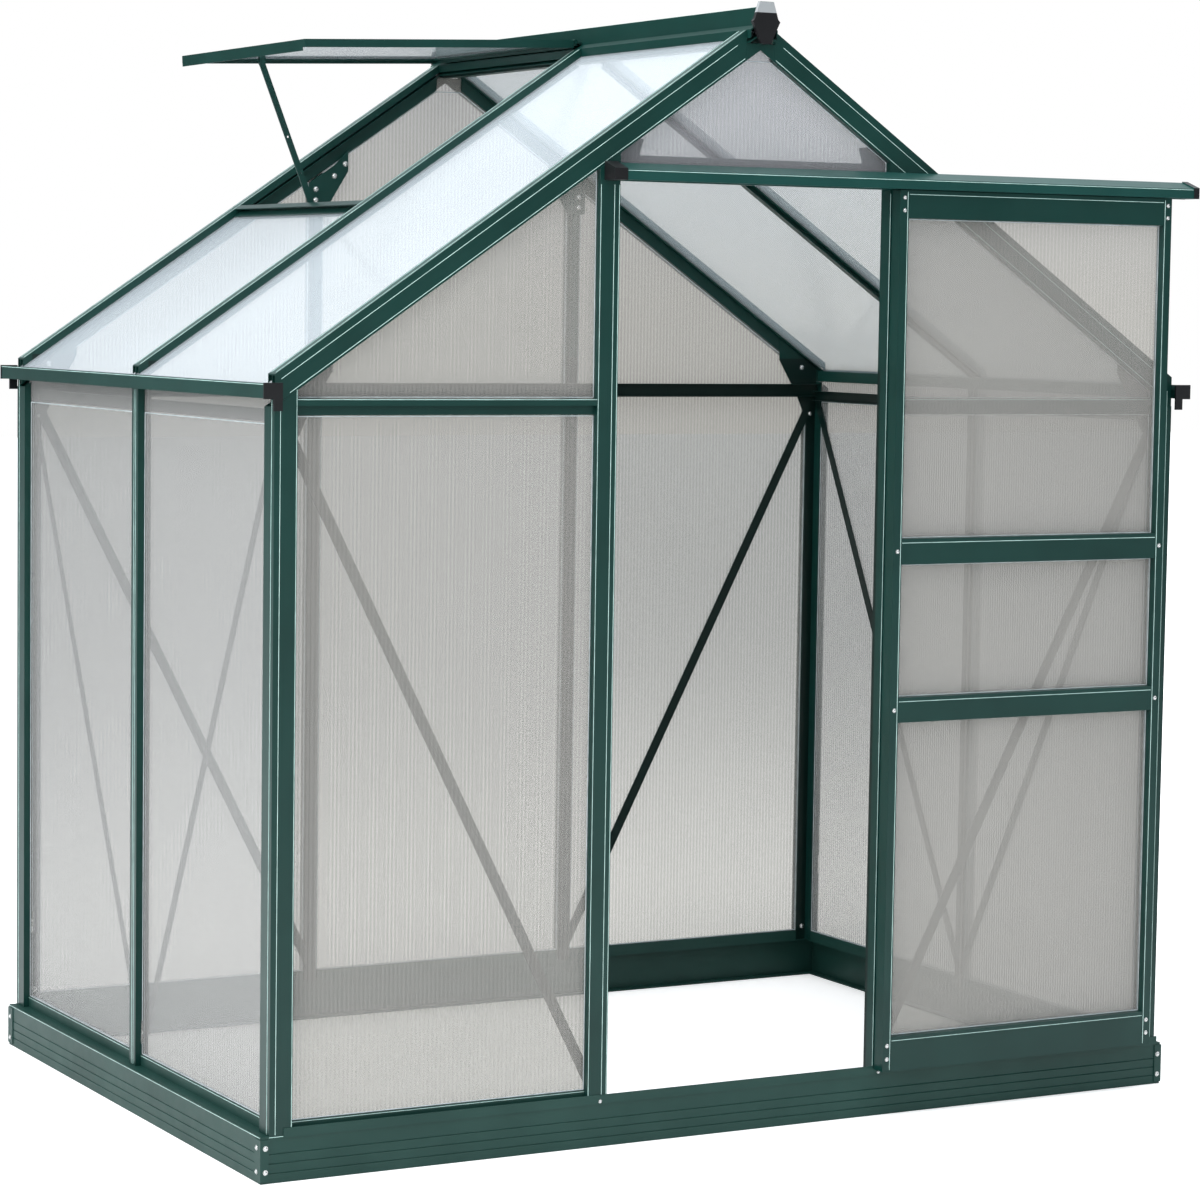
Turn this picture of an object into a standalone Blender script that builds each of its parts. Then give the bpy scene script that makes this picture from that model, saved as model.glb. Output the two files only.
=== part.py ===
"""Polycarbonate greenhouse: aluminium frame on a base, twin-wall sheets, sliding door, roof vent on a stay.

Metres, +Z up, +X along the front to the right, +Y to the back. The origin is in the middle of the
front base rail's foot, on the ground. Every section is drawn as an outline and run between two
cut planes, so that mitres and slanted ends come from the planes and not from the outline.
"""

import math

import bmesh
import bpy
from mathutils import Vector

X = Vector((1, 0, 0))
Y = Vector((0, 1, 0))
Z = Vector((0, 0, 1))

# Clearance and stock
GAP = 0.0003  # between two pieces that touch
WALL = 0.0018  # wall of the extruded sections
SHEET = 0.004  # twin-wall sheet
SEAT = 0.013  # how deep the sheet lies behind the outer faces of the bars
PLATE = 0.002  # gussets and braces

# Base
BASE_WIDTH = 1.880
BASE_DEPTH = 1.262
BASE_HEIGHT = 0.080
FOOT = 0.021  # width of the flange on the ground
FOOT_THICK = 0.003
LEDGE = 0.015  # the side walls stand this far inside the base
RIB_PITCH = 0.0165
RIB_DEPTH = 0.0012
CHANNEL_RISE = 0.021  # channel that the sheets stand in
GUIDE_RISE = 0.013  # lip that keeps the door's foot from swinging in
GUIDE_SKIRT = 0.004
GUIDE_THICK = 0.0013
GUIDE_LEFT = 0.041
GUIDE_RIGHT = 0.010
BRACKET_FRONT = 0.014  # corner bracket, its two legs and its height
BRACKET_SIDE = 0.023
BRACKET_LOW = 0.004
BRACKET_HIGH = 0.0755

# Bars of the frame
BAR_FACE = 0.030
BAR_DEPTH = 0.028
BAR_FOOT = 0.016  # width of the inner foot of a bar
FLANGE = 0.026  # width over the inner flanges that hold the sheets
POST_FACE = 0.042
JAMB_FACE = 0.039
JAMB_WEB = 0.026  # from the doorway to the web that the sheet's edge faces
DOORWAY = 0.556  # clear width between the jambs
STUD_SPREAD = 0.595  # centre to centre of the two studs in the rear wall
RAIL_HEIGHT = 0.028
RAIL_PROUD = 0.012
RAIL_BELOW = 0.0403  # tops of the rails, under the eaves
REAR_RAIL_BELOW = 0.0453
SIDE_RAIL_BELOW = 0.0603
SIDE_RAIL_HEIGHT = 0.022
INNER_RAIL_DEPTH = 0.012

# Braces and gussets
BRACE_WIDTH = 0.020
BRACE_FOOT = 0.115  # height of the brace's middle at the jamb, stud or side bar
BRACE_BELOW = {"front": 0.0674, "rear": 0.0586, "side": 0.0554}  # at the post, under the eaves
GUSSET_OUTLINE = ((0.053, -0.1033), (0.069, -0.0683), (0.114, 0.0067))  # in from the wall, over the eaves
STUD_GUSSET = ((0.0205, -0.1149), (-0.0205, -0.1149), (-0.0665, -0.0409), (-0.0665, 0.0021))  # from the head
STUD_GUSSET_REACH = 0.030  # along the rafter

# Roof
EAVES_HEIGHT = 1.3603  # roof surface where it meets the side walls' outer faces
PITCH = math.radians(34.15)
BAR_END = 0.001  # how far in from the side wall's face the roof bars end
RAFTER_DEPTH = 0.0446
RAFTER_TOP = 0.030
RAFTER_INNER = 0.042
RAFTER_WEB = 0.014  # from the gable to the web that the roof sheet's edge faces
RIDGE_HALF = 0.016
RIDGE_WING = 0.028
RIDGE_RISE = 0.020  # top of the ridge beam over the point where the slopes meet
RIDGE_DROP = 0.044
OVERHANG = 0.019  # the ridge and the gutters run past the gables by this
CAP_THICK = 0.008
CAP_WIDE = 0.028
CAP_RISE = 0.010
CAP_SHOULDER = 0.001
CAP_BEVEL = 0.004
CAP_FOOT = 0.0095
GUTTER_OUT = 0.027
GUTTER_BELOW = 0.0393  # its floor, under the eaves
GUTTER_RISE = 0.025
GUTTER_INNER = 0.028
GUTTER_BACK = 0.017
GUTTER_CAP_PROUD = 0.001
GUTTER_CAP_IN = 0.006
GUTTER_CAP_DROP = 0.021
GUTTER_CAP_TONGUE = 0.010

# Vent in the rear half of the left slope
VENT_HINGE_OUT = 0.030
VENT_HINGE_BELOW = 0.0067  # under the point where the slopes meet
VENT_OPEN = math.radians(2.5)  # slope of the vent as it stands open
VENT_LENGTH = 0.566
VENT_FRONT = 0.003  # from the middle bar to the vent's front edge
VENT_WIDTH = 0.597
VENT_STILE = 0.015
VENT_ABOVE = 0.005
VENT_BELOW = 0.010
VENT_LIP = 0.016
VENT_SEAT = -0.0013  # underside of the vent's pane, from the hinge's plane
HINGE_BEAD = 0.003
HINGE_STEM = 0.0016
HOOK_WALL = 0.0026
HINGE_PLAY = 0.0006
HOOK_FROM = math.radians(-125)
HOOK_TO = math.radians(155)
VENT_LAP = 0.0286  # of the closed vent over its sill
SILL_LENGTH = 0.024
SILL_HEAD = 0.0135
STAY_LENGTH = 0.295
STAY_WIDTH = 0.012
STAY_THICK = 0.003
STAY_BESIDE = 0.285  # from the middle bar
STAY_PIN = 0.0024
STAY_SLOPE = math.radians(68.3)
STAY_DROP = 0.026  # from the vent's hinge plane down to the stay's pin

# Door
DOOR_OFF = 0.0035  # behind the door, to the wall's face
DOOR_DEPTH = 0.028
DOOR_IN = 0.003  # its left edge, from the doorway's right side
DOOR_WIDER = 0.052  # than the doorway
DOOR_STILE = 0.018
STILE_FOOT = 0.012
DOOR_FOOT = 0.087
DOOR_FOOT_RAIL = 0.064
DOOR_LOWER_RAIL = (0.731, 0.777)
DOOR_UPPER_RAIL = (1.020, 1.067)
DOOR_TOP_RAIL = 0.0505
RAIL_GROOVE = 0.010
TRACK_BELOW = 0.1012  # its foot, under the roof over the jamb
TRACK_PAST = 0.032  # past the left jamb
TRACK_OVER = 0.008  # past the base on the right
TRACK_FACE = 0.018
TRACK_OUT = 0.037
TRACK_HEIGHT = 0.0306
SHELF_RISE = 0.005
SHELF_OUT = 0.021
TRACK_CAP = 0.026
TRACK_CAP_PROUD = 0.002
TRACK_HEEL = 0.001
TRACK_LIP = 0.007
TRACK_CLEAR = 0.0015  # over the door
HEADER_RISE = 0.045
HEADER_LIP = 0.014
KNEE_FOOT = 0.042  # plates between the header and the rafters, in from the jamb
KNEE_TIP = 0.056
KNEE_DROP = 0.020
KNEE_RISE = 0.028
ROLLER_RADIUS = 0.0075
ROLLER_WIDTH = 0.007
ROLLER_IN = 0.060  # from the door's edges
AXLE_RADIUS = 0.0024
HANGER_WIDTH = 0.030
HANGER_THICK = 0.0025
HANGER_SEAT = 0.012  # how deep the hanger reaches into the door's top rail
HANGER_OVER = 0.0055  # over the axle
HANGER_BEVEL = 0.006

# Lines that follow from the sizes
FRONT = -FOOT / 2
REAR = FRONT + BASE_DEPTH
MIDDLE = (FRONT + REAR) / 2
SIDE = BASE_WIDTH / 2 - LEDGE  # outer faces of the side walls
HALF_DEPTH = BASE_DEPTH / 2
OUTER = SEAT - GAP  # outer lips reach in to the sheet
INNER = SEAT + SHEET + GAP  # inner flanges start behind the sheet
FLANGE_BACK = INNER + PLATE
RISE = math.tan(PITCH)
APEX = EAVES_HEIGHT + SIDE * RISE
BEHIND = FLANGE_BACK + GAP  # plane of the gussets and braces
JAMB_AT = DOORWAY / 2
STUD_AT = STUD_SPREAD / 2
RAIL_TOP = EAVES_HEIGHT - RAIL_BELOW
REAR_RAIL_TOP = EAVES_HEIGHT - REAR_RAIL_BELOW
SIDE_RAIL_TOP = EAVES_HEIGHT - SIDE_RAIL_BELOW
GUTTER_BOTTOM = EAVES_HEIGHT - GUTTER_BELOW
VENT_HINGE_HEIGHT = APEX - VENT_HINGE_BELOW
HINGE_AT = VENT_HINGE_OUT * math.cos(PITCH) + VENT_HINGE_BELOW * math.sin(PITCH)  # down the slope
SILL_AT = HINGE_AT + VENT_LENGTH - VENT_LAP
TRACK_BOTTOM = APEX - JAMB_AT * RISE - TRACK_BELOW
TRACK_TOP = TRACK_BOTTOM + TRACK_HEIGHT
TRACK_SHELF = TRACK_BOTTOM + SHELF_RISE
TRACK_LEFT = -JAMB_AT - TRACK_PAST
TRACK_RIGHT = BASE_WIDTH / 2 + TRACK_OVER
HEADER_TOP = TRACK_BOTTOM + HEADER_RISE
DOOR_LEFT = JAMB_AT + DOOR_IN
DOOR_WIDTH = DOORWAY + DOOR_WIDER
DOOR_TOP = TRACK_BOTTOM - TRACK_CLEAR
DOOR_RAILS = (
    ("bottom", DOOR_FOOT, DOOR_FOOT + DOOR_FOOT_RAIL),
    ("lower", *DOOR_LOWER_RAIL),
    ("upper", *DOOR_UPPER_RAIL),
    ("top", DOOR_TOP - DOOR_TOP_RAIL, DOOR_TOP),
)
BAR_STAND = BASE_HEIGHT + GAP
SKIN = 0.0001  # a fused piece stands this proud of the one that it wraps
EDGE = 0.0005  # from a sheet's edge to the web that it faces
WEB = PLATE  # half of a bar's web
POST_WEB = BAR_FACE - PLATE

FINISHES = {
    "coat": ((0.020, 0.062, 0.048), 0.42, 0.30, 1.0),
    "sheet": ((0.80, 0.86, 0.90), 0.12, 0.0, 0.35),
    "plastic": ((0.012, 0.013, 0.014), 0.35, 0.0, 1.0),
}


def painted(obj, finish):
    """Give one piece its own material."""
    colour, roughness, metallic, alpha = FINISHES[finish]
    material = bpy.data.materials.new(obj.name)
    material.use_nodes = True
    shader = material.node_tree.nodes["Principled BSDF"]
    shader.inputs["Base Color"].default_value = (*colour, 1.0)
    shader.inputs["Roughness"].default_value = roughness
    shader.inputs["Metallic"].default_value = metallic
    shader.inputs["Alpha"].default_value = alpha
    obj.data.materials.clear()
    obj.data.materials.append(material)
    return obj


def run_between(name, loops, origin, across, inward, start, end):
    """Run a section, an outline and any holes, from the start plane to the end plane."""
    along = across.cross(inward)
    bm = bmesh.new()
    rims = ([], [])
    for loop in loops:
        rings = []
        for rim, (point, normal) in zip(rims, (start, end)):
            corners = []
            for a, b in loop:
                corner = origin + across * a + inward * b
                slide = (point - corner).dot(normal) / along.dot(normal)
                corners.append(bm.verts.new(corner + along * slide))
            rings.append(corners)
            rim.append(corners)
        for i in range(len(loop)):
            bm.faces.new((rings[0][i - 1], rings[0][i], rings[1][i], rings[1][i - 1]))
    for rim in rims:
        if len(rim) == 1:
            bm.faces.new(rim[0])
        else:
            edges = [bm.edges.get((loop[i - 1], loop[i])) for loop in rim for i in range(len(loop))]
            bmesh.ops.triangle_fill(bm, use_beauty=True, edges=edges, normal=along)
    return finished(name, bm)


def finished(name, bm):
    """Turn a closed bmesh into an object with its faces pointing out."""
    bmesh.ops.recalc_face_normals(bm, faces=bm.faces)
    mesh = bpy.data.meshes.new(name)
    bm.to_mesh(mesh)
    bm.free()
    obj = bpy.data.objects.new(name, mesh)
    bpy.context.scene.collection.objects.link(obj)
    return obj


def fused(base, *others):
    """Join overlapping pieces into one solid under the first one's name."""
    for other in others:
        union = base.modifiers.new(other.name, "BOOLEAN")
        union.operation = "UNION"
        union.object = other
    evaluated = base.evaluated_get(bpy.context.evaluated_depsgraph_get())
    base.data = bpy.data.meshes.new_from_object(evaluated)
    base.modifiers.clear()
    for other in others:
        bpy.data.objects.remove(other)
    return base


def pivoted(obj, pivot, parent=None):
    """Put a piece's origin on its joint's axis, and hang it from its parent there."""
    for vertex in obj.data.vertices:
        vertex.co -= pivot
    obj.location = pivot
    if parent:
        obj.parent = parent
        obj.location = pivot - parent.location
    return obj


def pivot_empty(name, at, parent=None):
    """An empty that marks the axis of a moving group."""
    empty = bpy.data.objects.new(name, None)
    bpy.context.scene.collection.objects.link(empty)
    empty.location = at
    if parent:
        empty.parent = parent
        empty.location = at - parent.location
    return empty


def mitred_frame(name, face, across, beside, section):
    """Frame of four mitred bars round a rectangle; its section is (in from the edge, w) pairs."""
    (a0, a1), (z0, z1) = across, beside
    bm = bmesh.new()
    rings = []
    for a, z, da, dz in ((a0, z0, 1, 1), (a1, z0, -1, 1), (a1, z1, -1, -1), (a0, z1, 1, -1)):
        rings.append([bm.verts.new(face.at(a + da * i, z + dz * i, w)) for i, w in section])
    for k in range(4):
        near, far = rings[k - 1], rings[k]
        for i in range(len(section)):
            bm.faces.new((near[i - 1], near[i], far[i], far[i - 1]))
    return finished(name, bm)


class Face:
    """A flat side of the house: `a` runs along it, `z` up it and `w` into the house from its face."""

    def __init__(self, origin, along, up, inward):
        self.origin, self.along, self.up, self.inward = origin, along, up, inward

    def at(self, a, z, w=0.0):
        return self.origin + self.along * a + self.up * z + self.inward * w

    def upright(self, name, loops, a, start, end, flip=1):
        """A bar that stands in the face; its section is (a, w) pairs, mirrored where flip is -1."""
        across = self.along * flip
        return run_between(name, loops, self.at(a, 0), across, self.inward, start, end)

    def rail(self, name, loops, a0, a1, z=0.0):
        """A bar that lies in the face; its section is (z, w) pairs."""
        start = (self.at(a0, 0), self.along)
        end = (self.at(a1, 0), self.along)
        return run_between(name, loops, self.at(0, z), self.up, self.inward, start, end)

    def plate(self, name, outline, w0, w1):
        """A flat piece whose outline is (a, z) pairs, from depth w0 to depth w1."""
        start = (self.at(0, 0, w0), self.inward)
        end = (self.at(0, 0, w1), self.inward)
        return run_between(name, [outline], self.origin, self.along, self.up, start, end)

    def level(self, z):
        return (self.at(0, z), self.up)


FRONT_WALL = Face(Vector((0, FRONT, 0)), X, Z, Y)
REAR_WALL = Face(Vector((0, REAR, 0)), X, Z, -Y)
LEFT_WALL = Face(Vector((-SIDE, MIDDLE, 0)), Y, Z, X)
RIGHT_WALL = Face(Vector((SIDE, MIDDLE, 0)), Y, Z, -X)


def slope(side):
    """The roof slope on one side: `a` runs down it from the apex, `z` to the back, `w` into the roof."""
    down = Vector((side * math.cos(PITCH), 0, -math.sin(PITCH)))
    into = Vector((-side * math.sin(PITCH), 0, -math.cos(PITCH)))
    return Face(Vector((0, MIDDLE, APEX)), down, Y, into)


SLOPES = {"left": slope(-1), "right": slope(1)}


def roof_height(x, depth=0.0):
    """Height of the surface that lies `depth` under the roof's outer faces."""
    return APEX - abs(x) * RISE - depth / math.cos(PITCH)


def under_roof(side, depth):
    """The plane that lies `depth` under one slope's outer faces."""
    face = SLOPES[side]
    return (face.at(0, 0, depth), face.inward)


def mirrored(section):
    """A symmetric section from its right half, which starts and ends on the middle line."""
    return section + [(-a, b) for a, b in reversed(section[1:-1])]


def ring(radius, sides, turn=0.0):
    """Points round a circle."""
    angles = [turn + 2 * math.pi * i / sides for i in range(sides)]
    return [(radius * math.cos(t), radius * math.sin(t)) for t in angles]


def bar_section():
    """Glazing bar: outer face with lips on both sheets, a web, inner flanges and a foot."""
    face, foot, inner = BAR_FACE / 2, BAR_FOOT / 2, FLANGE / 2
    half = [(0, 0), (face, 0), (face, OUTER), (face - WALL, OUTER), (face - WALL, WALL), (WEB, WALL)]
    half += [(WEB, INNER), (inner, INNER), (inner, FLANGE_BACK), (WEB, FLANGE_BACK)]
    half += [(WEB, BAR_DEPTH - PLATE), (foot, BAR_DEPTH - PLATE), (foot, BAR_DEPTH), (0, BAR_DEPTH)]
    return [mirrored(half)]


def post_section():
    """Corner post: two faces, a hollow corner chamber and a seat for a sheet in each wall."""
    face, lip, web = POST_FACE, POST_FACE - PLATE, BAR_FACE
    half = [(0, 0), (face, 0), (face, OUTER), (lip, OUTER), (lip, PLATE), (web, PLATE)]
    half += [(web, INNER), (face, INNER), (face, FLANGE_BACK), (FLANGE_BACK, FLANGE_BACK)]
    outline = half + [(b, a) for a, b in reversed(half[1:-1])]
    chamber = [(PLATE, PLATE), (POST_WEB, PLATE), (POST_WEB, INNER), (INNER, INNER)]
    chamber += [(INNER, POST_WEB), (PLATE, POST_WEB)]
    return [outline, chamber]


def jamb_section():
    """Door jamb: an open channel on the doorway's side and a seat for the sheet on the other."""
    face, lip, back = JAMB_FACE, JAMB_FACE - WALL, JAMB_WEB - PLATE
    outline = [(0, 0), (face, 0), (face, OUTER), (lip, OUTER), (lip, WALL), (JAMB_WEB, WALL)]
    outline += [(JAMB_WEB, INNER), (lip, INNER), (lip, FLANGE_BACK), (JAMB_WEB, FLANGE_BACK)]
    outline += [(JAMB_WEB, BAR_DEPTH), (back, BAR_DEPTH), (back, WALL), (WALL, WALL)]
    outline += [(WALL, BAR_DEPTH - PLATE), (BAR_FOOT / 2, BAR_DEPTH - PLATE)]
    return [outline + [(BAR_FOOT / 2, BAR_DEPTH), (0, BAR_DEPTH)]]


def rafter_section():
    """Gable rafter, as (down from the roof, in from the gable): a seat for each sheet's edge."""
    web, low = RAFTER_WEB, RAFTER_DEPTH - PLATE
    outline = [(0, 0), (0, RAFTER_TOP), (OUTER, RAFTER_TOP), (OUTER, RAFTER_TOP - PLATE)]
    outline += [(PLATE, RAFTER_TOP - PLATE), (PLATE, web), (INNER, web), (INNER, RAFTER_TOP)]
    outline += [(FLANGE_BACK, RAFTER_TOP), (FLANGE_BACK, FLANGE_BACK), (RAFTER_INNER, FLANGE_BACK)]
    outline += [(RAFTER_INNER, INNER), (FLANGE_BACK, INNER), (FLANGE_BACK, web - PLATE)]
    outline += [(PLATE, web - PLATE), (PLATE, PLATE), (low, PLATE), (low, OUTER)]
    return [outline + [(RAFTER_DEPTH, OUTER), (RAFTER_DEPTH, 0)]]


def base_section(set_in):
    """Base rail as (up, in): ribbed face, foot on the ground, ledge and the channel for the sheets."""
    ledge = set_in + INNER + WALL
    outline = [(0, FOOT), (0, 0)]
    ribs = int((BASE_HEIGHT - RIB_PITCH) / RIB_PITCH)
    for i in range(ribs):
        middle = RIB_PITCH * (i + 1)
        outline += [(middle - RIB_DEPTH, 0), (middle, RIB_DEPTH), (middle + RIB_DEPTH, 0)]
    outline += [(BASE_HEIGHT, 0), (BASE_HEIGHT, ledge), (BASE_HEIGHT - PLATE, ledge)]
    outline += [(BASE_HEIGHT - PLATE, PLATE + RIB_DEPTH), (FOOT_THICK, PLATE + RIB_DEPTH)]
    return [outline + [(FOOT_THICK, FOOT)]]


def channel(face, name, set_in, a0, a1):
    """Channel on the base that the sheets stand in: two lips joined under the sheet."""
    near, far = OUTER - WALL, INNER + WALL
    high, low = BASE_HEIGHT + CHANNEL_RISE, BASE_HEIGHT - PLATE / 2
    section = [(low, near), (high, near), (high, OUTER), (BASE_HEIGHT, OUTER), (BASE_HEIGHT, INNER)]
    section += [(high, INNER), (high, far), (low, far)]
    return face.rail(name, [section], a0, a1)


def base_rails():
    """Four rails mitred at the corners, with the channels for the sheets and the corner brackets."""
    half = BASE_WIDTH / 2
    inset = GAP / 2
    faces = {"front": FRONT_WALL, "rear": REAR_WALL}
    faces["left"] = Face(Vector((-half, MIDDLE, 0)), Y, Z, X)
    faces["right"] = Face(Vector((half, MIDDLE, 0)), Y, Z, -X)
    rails = {}
    for name, face in faces.items():
        reach = half if name in ("front", "rear") else HALF_DEPTH
        set_in = 0.0 if name in ("front", "rear") else LEDGE
        start = (face.at(-reach + inset, 0), face.along - face.inward)
        end = (face.at(reach - inset, 0), face.along + face.inward)
        loops = base_section(set_in)
        rails[name] = run_between(f"base_{name}_rail", loops, face.at(0, 0), Z, face.inward, start, end)
    stand = POST_FACE + GAP
    ends = SIDE - stand
    jamb = JAMB_AT + JAMB_FACE + GAP
    stud = BAR_FACE / 2 + GAP
    front = [channel(FRONT_WALL, "sill", 0, s * jamb, s * ends) for s in (-1, 1)]
    skirt = BASE_HEIGHT - GUIDE_SKIRT
    top = BASE_HEIGHT + GUIDE_RISE
    face = -GAP - GUIDE_THICK
    guide = [(skirt, face), (top, face), (top, -GAP), (BASE_HEIGHT - WALL / 2, -GAP)]
    guide += [(BASE_HEIGHT - WALL / 2, WALL / 2), (skirt, WALL / 2)]
    front.append(FRONT_WALL.rail("guide", [guide], -half + GUIDE_LEFT, half - GUIDE_RIGHT))
    rear = [channel(REAR_WALL, "sill", 0, s * (STUD_AT + stud), s * ends) for s in (-1, 1)]
    rear.append(channel(REAR_WALL, "sill", 0, stud - STUD_AT, STUD_AT - stud))
    fused(rails["front"], *front)
    fused(rails["rear"], *rear)
    for name, face in (("left", LEFT_WALL), ("right", RIGHT_WALL)):
        reach = HALF_DEPTH - stand
        added = [channel(face, "sill", 0, s * stud, s * reach) for s in (-1, 1)]
        side = -1 if name == "left" else 1
        added += [corner_bracket(side, end) for end in (-1, 1)]
        fused(rails[name], *added)
    return [painted(rail, "coat") for rail in rails.values()]


def corner_bracket(side, end):
    """Bracket round the outside of a corner of the base; end is -1 at the front, 1 at the rear."""
    x, y = side * BASE_WIDTH / 2, MIDDLE + end * HALF_DEPTH
    off = end * (GAP + WALL)
    plan = [(x, y + off), (x - side * BRACKET_FRONT, y + off), (x - side * BRACKET_FRONT, y + end * GAP)]
    plan += [(x + side * GAP, y + end * GAP), (x + side * GAP, y - end * PLATE)]
    plan += [(x - side * WALL / 2, y - end * PLATE), (x - side * WALL / 2, y - end * BRACKET_SIDE)]
    plan += [(x + side * WALL, y - end * BRACKET_SIDE), (x + side * WALL, y + off)]
    start, end_plane = (Vector((0, 0, BRACKET_LOW)), Z), (Vector((0, 0, BRACKET_HIGH)), Z)
    return run_between("bracket", [plan], Vector(), X, Y, start, end_plane)


def brace(face, name, corner, foot, below):
    """Brace from a corner post to the foot of a bar, clipped upright at both ends."""
    direction = 1 if corner > foot else -1
    high = EAVES_HEIGHT - below
    fall = (high - BRACE_FOOT) / abs(corner - foot)
    half = BRACE_WIDTH / 2 * math.hypot(1, fall)
    clear = roof_height(SIDE - BEHIND, RAFTER_INNER) - GAP
    outline = [(foot, BRACE_FOOT - half), (corner, high - half), (corner, min(high + half, clear))]
    outline.append((foot, BRACE_FOOT + half))
    return face.plate(name, outline[::direction], BEHIND, BEHIND + PLATE)


def corner_posts():
    """Posts with their hollow corner, each with its two braces and the gusset to the rafter."""
    built = []
    leg = PLATE / 2
    for where, wall, end in (("front", FRONT_WALL, -1), ("rear", REAR_WALL, 1)):
        for side_name, side_wall, side in (("left", LEFT_WALL, -1), ("right", RIGHT_WALL, 1)):
            name = f"corner_post_{where}_{side_name}"
            top = under_roof(side_name, RAFTER_DEPTH + GAP)
            post = wall.upright(name, post_section(), side * SIDE, wall.level(BAR_STAND), top, -side)
            corner = side * (SIDE - INNER - leg)
            bar = JAMB_AT + JAMB_WEB if where == "front" else STUD_AT + WEB
            along = brace(wall, "brace", corner, side * (bar + EDGE), BRACE_BELOW[where])
            depth = end * (HALF_DEPTH - INNER - leg)
            beside = brace(side_wall, "side brace", depth, end * (WEB + EDGE), BRACE_BELOW["side"])
            gusset = [(corner, EAVES_HEIGHT + GUSSET_OUTLINE[0][1])]
            gusset += [(side * (SIDE - inset), EAVES_HEIGHT + rise) for inset, rise in GUSSET_OUTLINE]
            last = side * (SIDE - GUSSET_OUTLINE[-1][0])
            under = FLANGE_BACK + GAP
            gusset += [(last, roof_height(last, under)), (corner, roof_height(corner, under))]
            plate = wall.plate("gusset", gusset, BEHIND, BEHIND + PLATE)
            built.append(fused(post, along, beside, plate))
    return [painted(post, "coat") for post in built]


def wall_bars():
    """Door jambs, the studs of the rear wall and the bar in the middle of each side wall."""
    built = []
    for side_name, side in (("left", -1), ("right", 1)):
        top = under_roof(side_name, RAFTER_DEPTH + GAP)
        base = FRONT_WALL.level(BAR_STAND)
        name = f"door_jamb_{side_name}"
        built.append(FRONT_WALL.upright(name, jamb_section(), side * JAMB_AT, base, top, side))
        name = f"rear_stud_{side_name}"
        stud = REAR_WALL.upright(name, bar_section(), side * STUD_AT, base, top, side)
        built.append(fused(stud, stud_gusset(side)))
        wall = LEFT_WALL if side < 0 else RIGHT_WALL
        head = wall.level(GUTTER_BOTTOM - GAP)
        built.append(wall.upright(f"side_bar_{side_name}", bar_section(), 0, wall.level(BAR_STAND), head))
    return [painted(bar, "coat") for bar in built]


def stud_gusset(side):
    """Plate on the inner foot of a rear stud, reaching up to the rafter."""
    head = roof_height(STUD_AT)
    inner, outer = STUD_AT + STUD_GUSSET[-1][0], STUD_AT + STUD_GUSSET[0][0]
    outline = [(side * (STUD_AT + across), head + rise) for across, rise in STUD_GUSSET]
    outline += [(side * a, roof_height(a, RAFTER_DEPTH)) for a in (inner + STUD_GUSSET_REACH, outer)]
    return REAR_WALL.plate("gusset", outline, BAR_DEPTH - PLATE / 2, BAR_DEPTH + PLATE / 2)


def inner_rail_section(low, high):
    """Channel that lies on the inner feet of the bars, open to the inside."""
    near = BAR_DEPTH + GAP
    far = near + INNER_RAIL_DEPTH
    outline = [(low, near), (high, near), (high, far), (high - WALL, far)]
    return outline + [(high - WALL, near + WALL), (low + WALL, near + WALL), (low + WALL, far), (low, far)]


def wall_rails():
    """Middle rails: outside the front sheets, and inside along the rear and side walls."""
    built = []
    neck = RAIL_TOP - RAIL_PROUD
    foot = RAIL_TOP - RAIL_HEIGHT
    back = OUTER - GAP
    section = [(neck, 0), (RAIL_TOP, 0), (RAIL_TOP, back), (foot, back), (foot, back - WALL)]
    section += [(RAIL_TOP - WALL, back - WALL), (RAIL_TOP - WALL, WALL), (neck, WALL)]
    for side_name, side in (("left", -1), ("right", 1)):
        near, far = JAMB_AT + JAMB_FACE + GAP, SIDE - POST_FACE - GAP
        a0, a1 = sorted((side * near, side * far))
        built.append(FRONT_WALL.rail(f"front_rail_{side_name}", [section], a0, a1))
    reach = SIDE - BEHIND - PLATE - GAP
    rear = inner_rail_section(REAR_RAIL_TOP - RAIL_HEIGHT, REAR_RAIL_TOP)
    built.append(REAR_WALL.rail("rear_rail", [rear], -reach, reach))
    inner = inner_rail_section(SIDE_RAIL_TOP - SIDE_RAIL_HEIGHT, SIDE_RAIL_TOP)
    fore = HALF_DEPTH - BEHIND - PLATE - GAP
    aft = HALF_DEPTH - BAR_DEPTH - INNER_RAIL_DEPTH - 2 * GAP
    for side_name, wall in (("left", LEFT_WALL), ("right", RIGHT_WALL)):
        built.append(wall.rail(f"side_rail_{side_name}", [inner], -fore, aft))
    return [painted(rail, "coat") for rail in built]


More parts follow.
